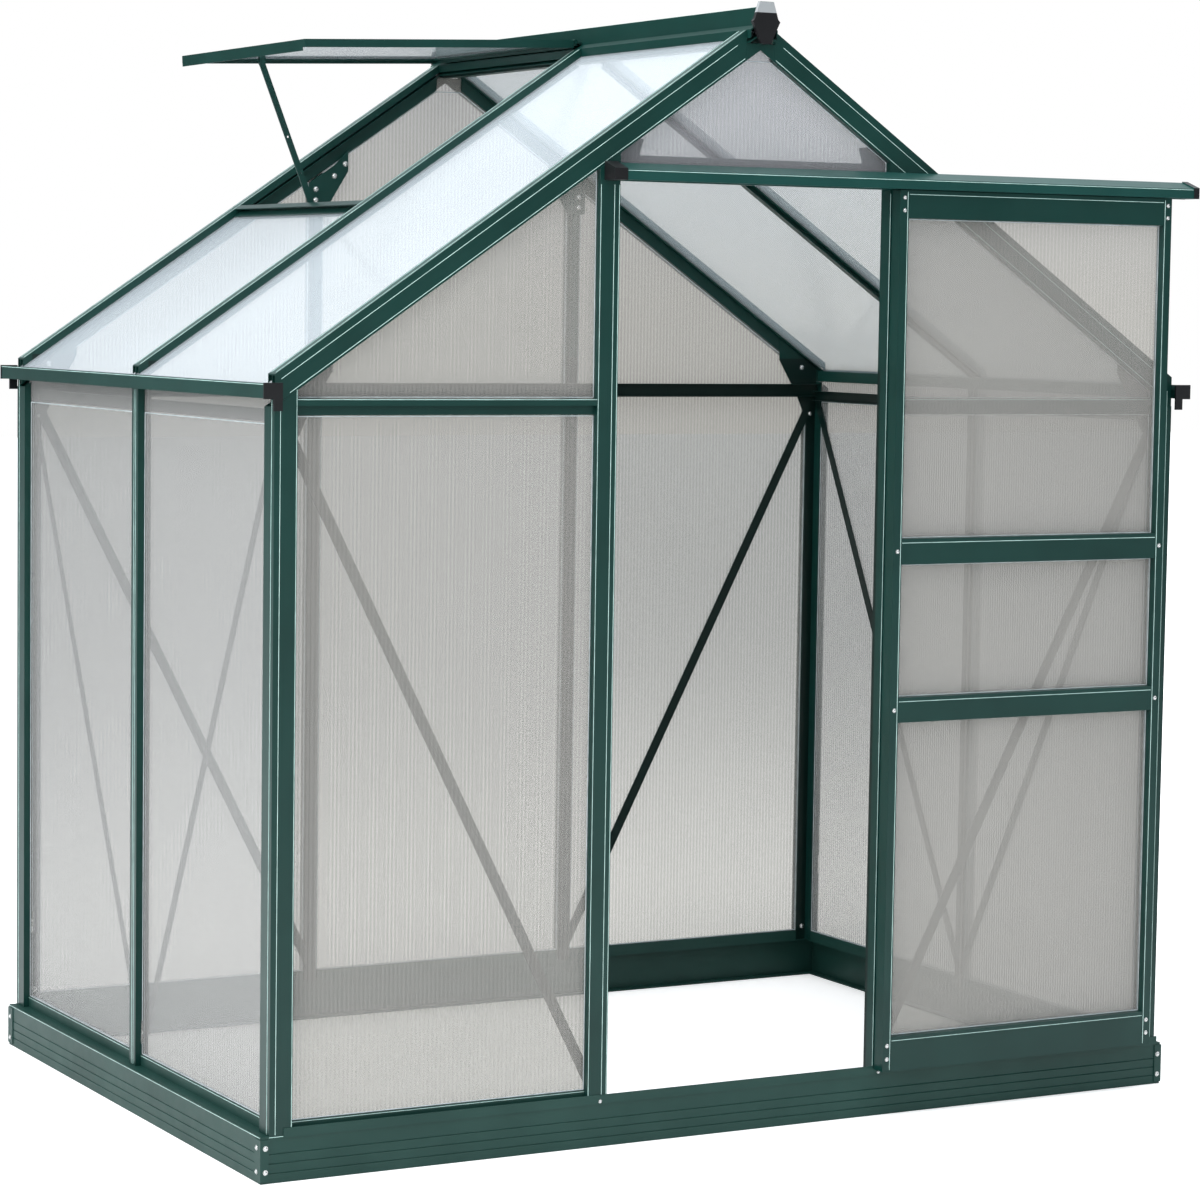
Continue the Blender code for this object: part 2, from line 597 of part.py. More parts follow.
def gutters():
    """Eaves gutters: an outer trough past both gables and an inner beam that carries the roof bars."""
    built = []
    low, high = GUTTER_BOTTOM, GUTTER_BOTTOM + GUTTER_RISE
    back = -GAP
    trough = [(low, -GUTTER_OUT), (high, -GUTTER_OUT), (high, -GUTTER_OUT + WALL)]
    trough += [(low + WALL, -GUTTER_OUT + WALL), (low + WALL, back - WALL)]
    trough += [(low + GUTTER_BACK, back - WALL), (low + GUTTER_BACK, back), (low, back)]
    carry = roof_height(SIDE - GUTTER_INNER + PLATE, BAR_DEPTH) - GAP
    beam = [(low, back - WALL / 2), (low + WALL, back - WALL / 2), (low + WALL, GUTTER_INNER - PLATE)]
    beam += [(carry, GUTTER_INNER - PLATE), (carry, GUTTER_INNER), (low, GUTTER_INNER)]
    reach = HALF_DEPTH + OVERHANG
    inner_reach = HALF_DEPTH - POST_FACE
    for side_name, wall in (("left", LEFT_WALL), ("right", RIGHT_WALL)):
        gutter = wall.rail(f"gutter_{side_name}", [trough], -reach, reach)
        added = [wall.rail("beam", [beam], -inner_reach, inner_reach)]
        for end in (-1, 1):
            inside, outside = end * (reach - WALL), end * (reach + WALL)
            foot, crown, tongue = low - GUTTER_CAP_PROUD, high + GUTTER_CAP_PROUD, low - GUTTER_CAP_DROP
            cap = [(foot, -GUTTER_OUT - GUTTER_CAP_PROUD), (crown, -GUTTER_OUT - GUTTER_CAP_PROUD)]
            cap += [(crown, GUTTER_CAP_IN), (tongue, GUTTER_CAP_IN)]
            cap += [(tongue, -GUTTER_CAP_TONGUE), (foot, -GUTTER_CAP_TONGUE)]
            a0, a1 = sorted((inside, outside))
            added.append(wall.rail("cap", [cap], a0, a1))
        built.append(fused(gutter, *added))
    return [painted(gutter, "coat") for gutter in built]


def ridge_section():
    """Ridge beam as (across, down from the top), with the slots for the roof sheets on both sides."""
    top = APEX + RIDGE_RISE
    wing, half, skin = RIDGE_WING, RIDGE_HALF, PLATE

    def line(x, depth):
        return (x, roof_height(x, depth))

    half_outline = [(0, top), (half, top), line(half, 0), line(wing, 0)]
    half_outline += [line(wing, OUTER), line(wing - skin, OUTER), line(wing - skin, skin)]
    half_outline += [line(half - skin, skin), (half - skin, top - skin), (WEB, top - skin)]
    half_outline += [line(WEB, INNER), line(wing, INNER), line(wing, FLANGE_BACK), line(WEB, FLANGE_BACK)]
    foot = APEX - RIDGE_DROP
    half_outline += [(WEB, foot + skin), (BAR_FOOT / 2, foot + skin), (BAR_FOOT / 2, foot), (0, foot)]
    return [mirrored(half_outline)]


def ridge():
    """Ridge beam with the plates that close the gables' peaks, the vent's hinge bead, and two caps."""
    reach = HALF_DEPTH + OVERHANG - CAP_THICK
    start, end = (Vector((0, MIDDLE - reach, 0)), Y), (Vector((0, MIDDLE + reach, 0)), Y)
    beam = run_between("ridge_beam", ridge_section(), Vector(), X, Z, start, end)
    foot = APEX - RIDGE_DROP
    under = RAFTER_DEPTH
    edge = RIDGE_WING + GAP / 2
    peak = [(-edge, foot + PLATE / 2), (-edge, roof_height(edge, under)), (0, roof_height(0, under))]
    peak += [(edge, roof_height(edge, under)), (edge, foot + PLATE / 2)]
    added = [wall.plate("peak", peak, 0, PLATE) for wall in (FRONT_WALL, REAR_WALL)]
    hinge = Vector((-VENT_HINGE_OUT, 0, VENT_HINGE_HEIGHT))
    start = (Vector((0, MIDDLE + VENT_FRONT, 0)), Y)
    end = (Vector((0, MIDDLE + VENT_FRONT + VENT_WIDTH, 0)), Y)
    bead = run_between("bead", [ring(HINGE_BEAD, 10)], hinge, X, Z, start, end)
    stem_half = HINGE_STEM / 2
    stem = [(0, -stem_half), (VENT_HINGE_OUT - RIDGE_HALF + PLATE / 2, -stem_half)]
    stem += [(VENT_HINGE_OUT - RIDGE_HALF + PLATE / 2, stem_half), (0, stem_half)]
    added += [bead, run_between("stem", [stem], hinge, X, Z, start, end)]
    built = [painted(fused(beam, *added), "coat")]
    top = APEX + RIDGE_RISE + CAP_RISE
    shoulder = APEX - CAP_SHOULDER
    cap = [(0, top), (CAP_WIDE / 2, top), (CAP_WIDE - CAP_BEVEL, shoulder), (CAP_WIDE, shoulder - CAP_BEVEL)]
    cap += [(CAP_FOOT, foot), (0, foot)]
    for name, end_side in (("front", -1), ("rear", 1)):
        near = MIDDLE + end_side * (reach + GAP)
        far = MIDDLE + end_side * (reach + CAP_THICK)
        planes = [(Vector((0, y, 0)), Y) for y in sorted((near, far))]
        plug = run_between(f"ridge_cap_{name}", [mirrored(cap)], Vector(), X, Z, *planes)
        built.append(painted(plug, "plastic"))
    return built


def roof_bars():
    """Gable rafters that meet the ridge, and the bar in the middle of each slope."""
    built = []
    for side_name, side in (("left", -1), ("right", 1)):
        face = SLOPES[side_name]
        head = (Vector((side * (RIDGE_WING + GAP + EDGE / 4), 0, 0)), X)
        foot = (Vector((side * (SIDE - BAR_END), 0, 0)), X)
        for where, end in (("front", -1), ("rear", 1)):
            gable = face.at(0, end * HALF_DEPTH)
            name = f"gable_rafter_{where}_{side_name}"
            rafter = run_between(name, rafter_section(), gable, face.inward, Y * -end, head, foot)
            built.append(rafter)
        origin = face.at(0, 0)
        bar = run_between(f"roof_bar_{side_name}", bar_section(), origin, Y, face.inward, head, foot)
        built.append(bar)
    return [painted(bar, "coat") for bar in built]


def sheets():
    """Twin-wall sheets, each seated in the channels of the bars round it."""
    built = []
    back = SEAT + SHEET
    low = BASE_HEIGHT + GAP
    seat = FLANGE_BACK + GAP
    corner = SIDE - BAR_FACE - EDGE
    for side_name, side in (("left", -1), ("right", 1)):
        walls = (("front", FRONT_WALL, JAMB_AT + JAMB_WEB), ("rear", REAR_WALL, STUD_AT + WEB))
        for where, wall, inner in walls:
            near = inner + EDGE
            outline = [(side * near, low), (side * corner, low)]
            outline += [(side * corner, roof_height(corner, seat)), (side * near, roof_height(near, seat))]
            built.append(wall.plate(f"sheet_{where}_{side_name}", outline, SEAT, back))
        wall = LEFT_WALL if side < 0 else RIGHT_WALL
        edge = HALF_DEPTH - BAR_FACE - EDGE
        for where, end in (("front", -1), ("rear", 1)):
            outline = [(end * (WEB + EDGE), low), (end * edge, low)]
            outline += [(end * edge, GUTTER_BOTTOM - GAP), (end * (WEB + EDGE), GUTTER_BOTTOM - GAP)]
            built.append(wall.plate(f"sheet_{side_name}_{where}", outline, SEAT, back))
        face = SLOPES[side_name]
        side_edge = HALF_DEPTH - RAFTER_WEB - EDGE
        head = (Vector((side * (WEB + EDGE), 0, 0)), X)
        foot = (Vector((side * (SIDE - BAR_END), 0, 0)), X)
        for where, end in (("front", -1), ("rear", 1)):
            below_vent = side < 0 and end > 0
            top = (face.at(SILL_AT + PLATE + GAP, 0), face.along) if below_vent else head
            section = [(end * (WEB + EDGE), SEAT), (end * side_edge, SEAT)]
            section += [(end * side_edge, back), (end * (WEB + EDGE), back)]
            name = f"sheet_roof_{side_name}_{where}"
            built.append(run_between(name, [section], face.at(0, 0), Y, face.inward, top, foot))
    crown = APEX - RIDGE_DROP - GAP
    tip = (roof_height(0, seat) - crown) / RISE
    for name, wall, edge, bottom in (
        ("sheet_gable_front", FRONT_WALL, JAMB_AT - GAP, TRACK_BOTTOM + WALL / 2 + GAP),
        ("sheet_rear_middle", REAR_WALL, STUD_AT - WEB - EDGE, low),
    ):
        outline = [(-edge, bottom), (edge, bottom), (edge, roof_height(edge, seat)), (tip, crown)]
        outline += [(-tip, crown), (-edge, roof_height(edge, seat))]
        built.append(wall.plate(name, outline, SEAT, back))
    return [painted(sheet, "sheet") for sheet in built]


def door_track():
    """Hooded track in front of the gable, its end caps, and the header behind the sheet above the door."""
    back = GAP
    out, face_top, low = TRACK_OUT, TRACK_BOTTOM + TRACK_FACE, TRACK_BOTTOM
    heel = low - TRACK_HEEL
    fall = (TRACK_TOP - face_top) / (out - back)
    drop = WALL * math.hypot(1, fall)
    lip = out - TRACK_LIP
    inner = out - WALL
    section = [(heel, back), (TRACK_TOP, back), (face_top, out), (low, out), (low, lip)]
    section += [(low + WALL, lip), (low + WALL, inner), (face_top + WALL * fall - drop, inner)]
    section += [(TRACK_TOP - PLATE * fall - drop, back + PLATE), (TRACK_SHELF, back + PLATE)]
    section += [(TRACK_SHELF, SHELF_OUT), (TRACK_SHELF - WALL, SHELF_OUT)]
    section += [(TRACK_SHELF - WALL, back + PLATE), (heel, back + PLATE)]
    outward = [(z, -d) for z, d in section]
    inset = TRACK_CAP / 4
    track = FRONT_WALL.rail("door_track", [outward], TRACK_LEFT + inset, TRACK_RIGHT - inset)
    over = TRACK_CAP_PROUD
    cap = [(low - over / 4, -back - over / 4), (TRACK_TOP + over, -back - over / 4)]
    cap += [(face_top + over, -out - over / 2), (low - over / 4, -out - over / 2)]
    left = FRONT_WALL.rail("cap", [cap], TRACK_LEFT, TRACK_LEFT + TRACK_CAP)
    right = FRONT_WALL.rail("cap", [cap], TRACK_RIGHT - TRACK_CAP / 2, TRACK_RIGHT)
    web, foot = TRACK_BOTTOM + WALL / 2, heel + 2 * SKIN
    far = BEHIND + PLATE
    header = [(foot, -back - PLATE / 2), (web, -back - PLATE / 2), (web, OUTER - WALL)]
    header += [(web + HEADER_LIP, OUTER - WALL), (web + HEADER_LIP, OUTER), (web, OUTER)]
    header += [(web, BEHIND), (HEADER_TOP, BEHIND), (HEADER_TOP, far), (foot, far)]
    clear = JAMB_AT - GAP
    added = [left, right, FRONT_WALL.rail("header", [header], -clear, clear)]
    under = FLANGE_BACK + GAP
    for side in (-1, 1):
        toe = HEADER_TOP - KNEE_DROP
        knee = [(side * clear, toe), (side * (JAMB_AT - KNEE_FOOT), toe)]
        knee.append((side * (JAMB_AT - KNEE_TIP), HEADER_TOP + KNEE_RISE))
        knee.append((side * clear, roof_height(clear, under)))
        added.append(FRONT_WALL.plate("knee", knee, BEHIND + SKIN, far - SKIN))
    return [painted(fused(track, *added), "coat")]


def vent():
    """Vent sill, the hinged frame with its hook, its pane and the stay, shown propped open."""
    slope_face = SLOPES["left"]
    y0, y1 = BAR_FACE / 2 + GAP, HALF_DEPTH - RAFTER_TOP - GAP
    s, far = SILL_AT, SILL_AT + SILL_LENGTH
    lip = OUTER - PLATE
    outline = [(s, 0), (s + SILL_HEAD, 0), (s + SILL_HEAD, PLATE), (s + PLATE, PLATE), (s + PLATE, lip)]
    outline += [(far, lip), (far, OUTER), (s + PLATE, OUTER), (s + PLATE, INNER), (far, INNER)]
    outline += [(far, FLANGE_BACK), (s, FLANGE_BACK)]
    start, end = (slope_face.at(0, y0), Y), (slope_face.at(0, y1), Y)
    down, inward = slope_face.along, slope_face.inward
    sill = run_between("vent_sill", [outline], slope_face.at(0, 0), down, inward, start, end)

    hinge = Vector((-VENT_HINGE_OUT, MIDDLE, VENT_HINGE_HEIGHT))
    down = Vector((-math.cos(VENT_OPEN), 0, -math.sin(VENT_OPEN)))
    up = Vector((-math.sin(VENT_OPEN), 0, math.cos(VENT_OPEN)))
    leaf = Face(hinge, down, Y, up)
    pane_low, pane_high = VENT_SEAT, VENT_SEAT + SHEET
    shelf = pane_low - GAP
    web, arm = WALL, VENT_STILE

    def stile_outline(deep):
        points = [(0, -deep), (web, -deep), (web, shelf - WALL), (arm, shelf - WALL), (arm, shelf)]
        points += [(web, shelf), (web, pane_high + GAP), (arm, pane_high + GAP), (arm, VENT_ABOVE)]
        return points + [(0, VENT_ABOVE)]

    head = VENT_STILE / 3
    front, rear = VENT_FRONT, VENT_FRONT + VENT_WIDTH
    cross = [(leaf.at(0, front + web / 2), Y), (leaf.at(0, rear - web / 2), Y)]
    frame = mitred_frame("vent_frame", leaf, (head, VENT_LENGTH), (front, rear), stile_outline(VENT_BELOW))
    inside, outside = VENT_LENGTH - web - SKIN, VENT_LENGTH + SKIN
    drip = [(inside, -VENT_LIP), (outside, -VENT_LIP), (outside, -VENT_BELOW / 2), (inside, -VENT_BELOW / 2)]
    clear = [(leaf.at(0, BAR_FACE / 2 + 2 * GAP), Y), (leaf.at(0, rear - web / 2), Y)]
    added = [run_between("drip", [drip], hinge, down, up, *clear)]
    inner, outer = HINGE_BEAD + HINGE_PLAY, HINGE_BEAD + HINGE_PLAY + HOOK_WALL
    steps = 9
    angles = [HOOK_FROM + (HOOK_TO - HOOK_FROM) * i / steps for i in range(steps + 1)]
    hook = [(outer * math.cos(t), outer * math.sin(t)) for t in angles]
    hook += [(inner * math.cos(t), inner * math.sin(t)) for t in reversed(angles)]
    added.append(run_between("hook", [hook], leaf.at(0, 0), down, up, *cross))
    half = STAY_WIDTH / 2
    lug_at = SILL_AT - HINGE_AT - half - PLATE / 2
    pin_low = -STAY_DROP
    arm_low, arm_high = shelf - WALL - PLATE, shelf - WALL / 2
    arm_end = VENT_LENGTH - web / 2
    for beside in (-1, 1):
        near = STAY_BESIDE + beside * (STAY_THICK / 2 + GAP)
        planes = [(leaf.at(0, y), Y) for y in sorted((near, near + beside * PLATE))]
        lug = [(lug_at - half, pin_low), (lug_at - half / 2, pin_low - half)]
        lug += [(lug_at + half / 2, pin_low - half), (lug_at + half, pin_low), (lug_at + half, arm_low)]
        lug += [(arm_end, arm_low), (arm_end, arm_high), (lug_at - half, arm_high)]
        added.append(run_between("lug", [lug], leaf.at(0, 0), down, up, *planes))
    reach = STAY_THICK / 2 + PLATE / 2
    planes = [(leaf.at(0, STAY_BESIDE - reach), Y), (leaf.at(0, STAY_BESIDE + reach), Y)]
    added.append(run_between("pin", [ring(STAY_PIN, 10)], leaf.at(lug_at, 0, pin_low), down, up, *planes))
    fused(frame, *added)

    first_e, last_e = head + web + EDGE, VENT_LENGTH - web - EDGE
    pane = [(first_e, pane_low), (last_e, pane_low), (last_e, pane_high), (first_e, pane_high)]
    planes = [(leaf.at(0, front + web + EDGE), Y), (leaf.at(0, rear - web - EDGE), Y)]
    glazing = run_between("vent_pane", [pane], hinge, down, up, *planes)

    eye = leaf.at(lug_at, STAY_BESIDE, pin_low)
    toward = Vector((math.cos(STAY_SLOPE), 0, -math.sin(STAY_SLOPE)))
    beside = Vector((math.sin(STAY_SLOPE), 0, math.cos(STAY_SLOPE)))
    turns = [math.pi / 2 + math.pi * i / 6 for i in range(7)]
    outline = [(half * math.cos(t), half * math.sin(t)) for t in turns]
    outline += [(STAY_LENGTH + half * math.cos(t + math.pi), half * math.sin(t + math.pi)) for t in turns]
    loops = [outline, ring(STAY_PIN + GAP, 10)]
    loops += [[(STAY_LENGTH * k / 4 + x, y) for x, y in ring(STAY_PIN, 8)] for k in (2, 3, 4)]
    planes = [(eye + Y * k * STAY_THICK / 2, Y) for k in (-1, 1)]
    stay = run_between("vent_stay", loops, eye, toward, beside, *planes)

    axis = pivot_empty("vent_axis", hinge)
    for piece in (frame, glazing):
        pivoted(piece, hinge, axis)
    stay_axis = pivot_empty("stay_axis", eye, axis)
    pivoted(stay, eye)
    stay.parent = stay_axis
    stay.location = (0, 0, 0)
    painted(sill, "coat")
    painted(frame, "coat")
    painted(glazing, "sheet")
    painted(stay, "coat")
    return [sill, frame, glazing, stay]


def door_rail_section(height):
    """Rail of the door: a hollow middle and a groove for a pane along both edges."""
    near, far = RAIL_GROOVE, height - RAIL_GROOVE
    outline = [(0, 0), (height, 0), (height, OUTER), (height - WALL, OUTER), (height - WALL, WALL)]
    outline += [(far, WALL), (far, INNER), (height, INNER), (height, FLANGE_BACK), (0, FLANGE_BACK)]
    outline += [(0, INNER), (near, INNER), (near, WALL), (WALL, WALL), (WALL, OUTER), (0, OUTER)]
    hollow = [(near + PLATE, WALL), (far - PLATE, WALL), (far - PLATE, INNER), (near + PLATE, INNER)]
    return [outline, hollow]


def door():
    """Sliding door: two stiles, four rails, three panes, and two rollers on hangers in the track."""
    face_y = FRONT - DOOR_OFF - DOOR_DEPTH
    leaf = Face(Vector((0, face_y, 0)), X, Z, Y)
    left, right = DOOR_LEFT, DOOR_LEFT + DOOR_WIDTH
    section = [(0, 0), (DOOR_STILE, 0), (DOOR_STILE, OUTER), (DOOR_STILE - WALL, OUTER)]
    section += [(DOOR_STILE - WALL, WALL), (PLATE, WALL), (PLATE, INNER), (DOOR_STILE - PLATE, INNER)]
    section += [(DOOR_STILE - PLATE, FLANGE_BACK), (PLATE, FLANGE_BACK), (PLATE, DOOR_DEPTH - WALL)]
    section += [(STILE_FOOT, DOOR_DEPTH - WALL), (STILE_FOOT, DOOR_DEPTH), (0, DOOR_DEPTH)]
    axis = pivot_empty("door_slide", Vector((left, face_y, 0)))
    built = []
    for name, a, flip in (("left", left, 1), ("right", right, -1)):
        ends = (leaf.level(DOOR_FOOT), leaf.level(DOOR_TOP))
        built.append(leaf.upright(f"door_stile_{name}", [section], a, *ends, flip))
    a0, a1 = left + DOOR_STILE + GAP, right - DOOR_STILE - GAP
    for name, low, high in DOOR_RAILS:
        built.append(leaf.rail(f"door_{name}_rail", door_rail_section(high - low), a0, a1, low))
    hang = TRACK_SHELF + GAP + ROLLER_RADIUS
    depth = DOOR_OFF + DOOR_DEPTH - SHELF_OUT + ROLLER_WIDTH / 2 + GAP
    fused(built[-1], *[hanger(leaf, at, hang, depth) for at in (left + ROLLER_IN, right - ROLLER_IN)])
    painted_door = [painted(piece, "coat") for piece in built]
    groove = RAIL_GROOVE - EDGE
    a0, a1 = left + PLATE + EDGE, right - PLATE - EDGE
    for name, below, above in zip(("bottom", "middle", "top"), DOOR_RAILS, DOOR_RAILS[1:]):
        low, high = below[2] - groove, above[1] + groove
        outline = [(a0, low), (a1, low), (a1, high), (a0, high)]
        pane = leaf.plate(f"door_pane_{name}", outline, SEAT, SEAT + SHEET)
        painted_door.append(painted(pane, "sheet"))
    for piece in painted_door:
        pivoted(piece, axis.location.copy(), axis)
    for name, at in (("left", left + ROLLER_IN), ("right", right - ROLLER_IN)):
        centre = leaf.at(at, hang, depth)
        planes = [(centre + Y * k * ROLLER_WIDTH / 2, Y) for k in (-1, 1)]
        loops = [ring(ROLLER_RADIUS, 20, math.radians(9)), ring(AXLE_RADIUS + GAP, 12)]
        roller = painted(run_between(f"door_roller_{name}", loops, centre, X, Z, *planes), "plastic")
        pivoted(roller, centre, axis)
        painted_door.append(roller)
    return painted_door


def hanger(leaf, at, hang, depth):
    """Plate that stands on the door's top rail in front of the roller, with the axle behind it."""
    half = HANGER_WIDTH / 2
    plate_back = depth - ROLLER_WIDTH / 2 - GAP
    low, high = DOOR_TOP - HANGER_SEAT, hang + HANGER_OVER
    outline = [(at - half, low), (at + half, low), (at + half, high - HANGER_BEVEL * 1.5)]
    outline += [(at + half - HANGER_BEVEL, high), (at - half + HANGER_BEVEL, high)]
    outline.append((at - half, high - HANGER_BEVEL * 1.5))
    plate = leaf.plate("hanger", outline, plate_back - HANGER_THICK, plate_back)
    centre = leaf.at(at, hang)
    reach = depth + ROLLER_WIDTH / 2 + GAP
    planes = [(leaf.at(0, 0, plate_back - HANGER_THICK / 2), Y), (leaf.at(0, 0, reach), Y)]
    axle = run_between("axle", [ring(AXLE_RADIUS, 12)], centre, X, Z, *planes)
    return fused(plate, axle)


def main():
    for obj in list(bpy.data.objects):
        bpy.data.objects.remove(obj)
    pieces = base_rails() + corner_posts() + wall_bars() + wall_rails() + gutters() + ridge()
    pieces += roof_bars() + sheets() + door_track() + vent() + door()
    for piece in pieces:
        piece.data.set_sharp_from_angle(angle=math.radians(35))
    print(len(pieces), "pieces")


main()
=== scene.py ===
"""Looks of the polycarbonate greenhouse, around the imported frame. Metres, in the frame's own axes."""
import math

import bpy
import numpy as np
from mathutils import Matrix, Vector


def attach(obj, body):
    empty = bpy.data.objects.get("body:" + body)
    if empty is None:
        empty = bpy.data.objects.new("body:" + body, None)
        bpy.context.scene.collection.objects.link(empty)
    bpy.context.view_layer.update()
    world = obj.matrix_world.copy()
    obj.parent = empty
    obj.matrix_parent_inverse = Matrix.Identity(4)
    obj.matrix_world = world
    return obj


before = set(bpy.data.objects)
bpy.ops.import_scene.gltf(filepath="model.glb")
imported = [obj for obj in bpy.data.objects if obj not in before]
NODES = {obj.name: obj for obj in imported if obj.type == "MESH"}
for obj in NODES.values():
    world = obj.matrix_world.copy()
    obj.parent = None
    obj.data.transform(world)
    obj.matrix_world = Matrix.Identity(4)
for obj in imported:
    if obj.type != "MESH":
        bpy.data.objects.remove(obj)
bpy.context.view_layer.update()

# Camera solved from the photo
CAMERA_AT = (-3.29573, -5.47559, 1.48716)
AZIMUTH, ELEVATION, ROLL = math.radians(28.67765), math.radians(-4.64585), math.radians(0.85412)
LENS = 107.55
SENSOR = 36.0
CLIP_END = 100.0


def reach(node, axis):
    """Lowest and highest place of a CAD node along an axis, to a micrometre."""
    mesh = NODES[node].data
    places = np.empty(3 * len(mesh.vertices), np.float32)
    mesh.vertices.foreach_get("co", places)
    along = places["XYZ".index(axis)::3]
    return round(float(along.min()), 6), round(float(along.max()), 6)


# Faces and ends of the frame's members, read from the frame
FRONT_FACE, REAR_FACE = reach("door_jamb_left", "Y")[0], reach("corner_post_rear_right", "Y")[1]
SIDE_FACE, POST_FOOT = reach("corner_post_front_right", "X")[1], reach("corner_post_front_right", "Z")[0]
BASE_SIDE, BASE_CORNERS = reach("base_right_rail", "X")[1], reach("base_right_rail", "Y")
BASE_FRONT, BASE_TOP = reach("base_front_rail", "Y")[0], reach("base_front_rail", "Z")[1]
WALL_BAR_TOP, SIDE_RAIL_FOOT = reach("side_bar_right", "Z")[1], reach("side_rail_right", "Z")[0]
BAY, (RAIL_FOOT, RAIL_HEAD) = reach("front_rail_right", "X"), reach("front_rail_right", "Z")
JAMB_INNER, JAMB_OUTER = reach("door_jamb_right", "X")
GUTTER_SIDE, GUTTER_TOP = reach("gutter_right", "X")[1], reach("gutter_right", "Z")[1]
GUTTER_FRONT, GUTTER_BACK = reach("gutter_right", "Y")
RIDGE_TOP, (RIDGE_FRONT, RIDGE_BACK) = reach("ridge_beam", "Z")[1], reach("ridge_beam", "Y")
TRACK_FACE, (TRACK_LEFT, TRACK_RIGHT) = reach("door_track", "Y")[0], reach("door_track", "X")
RIDGE_CAP_TOP = reach("ridge_cap_front", "Z")[1]
DOOR_FACE, (DOOR_LEFT, STILE_INNER) = reach("door_stile_left", "Y")[0], reach("door_stile_left", "X")
STILE_FOOT, DOOR_RIGHT = reach("door_stile_left", "Z")[0], reach("door_stile_right", "X")[1]
DOOR_RAIL_LEFT, DOOR_RAIL_RIGHT = reach("door_lower_rail", "X")
DOOR_RAILS = [reach(rail, "Z") for rail in ("door_bottom_rail", "door_lower_rail", "door_upper_rail")]
SHEET_FACE = reach("sheet_right_front", "X")[1]
MIDDLE, DOOR_MIDDLE = (FRONT_FACE + REAR_FACE) / 2, (DOOR_LEFT + DOOR_RIGHT) / 2

# Height at which the outer planes of the two roof slopes meet, and their pitch, as the CAD has them
APEX, PITCH = 1.98775, math.radians(34.15)

# Outward directions
FRONT, BACK, LEFT, RIGHT, TOP = (0, -1, 0), (0, 1, 0), (-1, 0, 0), (1, 0, 0), (0, 0, 1)
SIDES = ((-1, LEFT), (1, RIGHT))

# Places of the painted highlight lines along the edges and grooves, from the faces and ends of the extrusions
POST_LINES, BAR_LINE, ROOF_BAR_LINE, GABLE_BAR_LINES = (0.011, 0.0405), 0.004, 0.011, (0.006, 0.025)
LINE_FOOT, WALL_LINE_TOP = POST_FOOT + 0.0017, WALL_BAR_TOP - 0.0027
POST_LINE_TOP, JAMB_LINE_TOP = 1.335, 1.690
JAMB_LINES = (JAMB_INNER + 0.0015, JAMB_INNER + 0.011, JAMB_OUTER - 0.0015)
BAY_LINE, RAIL_LINE = (BAY[0] + 0.0002, BAY[1] - 0.0002), RAIL_HEAD - 0.0015
LIP_INSET, LIP_HEIGHT = 0.0109, BASE_TOP - 0.0025
LIP_RUNS = ((FRONT_FACE + 0.0425, MIDDLE - 0.0165), (MIDDLE + 0.0165, REAR_FACE - 0.0425))
BASE_RIB, BASE_RUN = 0.0018, (FRONT_FACE + 0.0035, REAR_FACE - 0.004)
BASE_GABLE_EDGE, BASE_SIDE_EDGE = 0.0785, 0.078
GUTTER_EDGE, GUTTER_HEIGHT = GUTTER_SIDE - 0.001, GUTTER_TOP - 0.003
GUTTER_ENDS = (GUTTER_FRONT + 0.0053, GUTTER_BACK - 0.0053)
RIDGE_EDGE, RIDGE_ENDS = 0.0145, (RIDGE_FRONT + 0.0005, RIDGE_BACK - 0.0005)
TRACK_EDGE, TRACK_LIP, TRACK_ENDS = 1.7142, TRACK_FACE + 0.001, (TRACK_LEFT + 0.027, TRACK_RIGHT - 0.014)
SLOPE_FOOT, BAR_HEAD, RAFTER_HEAD, RAFTER_LINES = 1.112, 0.037, 0.066, (0.013, 0.0405)
DOOR_TOP = 1.6965
DOOR_RAIL_LINES = [top - 0.0075 for top in (*(head for foot, head in DOOR_RAILS), DOOR_TOP)]
DOOR_RAIL_ENDS = (DOOR_RAIL_LEFT + 0.0007, DOOR_RAIL_RIGHT - 0.0007)
DOOR_STILE_LINES = (STILE_INNER - 0.0025, 2 * DOOR_MIDDLE - STILE_INNER + 0.0025)
DOOR_STILE_ENDS = (STILE_FOOT + 0.003, DOOR_TOP - 0.0035)

# Edges of the panes that show between the bars
PANE_FOOT, PANE_FRONT, PANE_BACK = BASE_TOP + 0.0014, 0.013, 0.017
FRONT_BAY, REAR_BAY = (BAY[0] + 0.0011, BAY[1] - 0.0011), (0.3140, BAY[1] - 0.0011)
RAIL_GAP = (RAIL_FOOT - 0.002, RAIL_HEAD + 0.002)
SIDE_BAYS = ((FRONT_FACE + 0.0434, MIDDLE - 0.0164), (MIDDLE + 0.0164, REAR_FACE - 0.0434))
SIDE_PANE_TOP = SIDE_RAIL_FOOT - 0.002
GABLE_HALF, REAR_HALF, CROWN_HALF, UNDER_RAFTER = JAMB_INNER - 0.0015, 0.281, 0.028, 0.0542
DOOR_SEAL_INSET, DOOR_SEAL_TOP = 0.0012, 1.6447
DOOR_PANE_FEET = [head + DOOR_SEAL_INSET for foot, head in DOOR_RAILS]
DOOR_PANE_HEADS = [*(foot - DOOR_SEAL_INSET for foot, head in DOOR_RAILS[1:]), DOOR_SEAL_TOP]
DOOR_PANE_X = (DOOR_RAIL_LEFT + 0.0011, DOOR_RAIL_RIGHT - 0.0011)

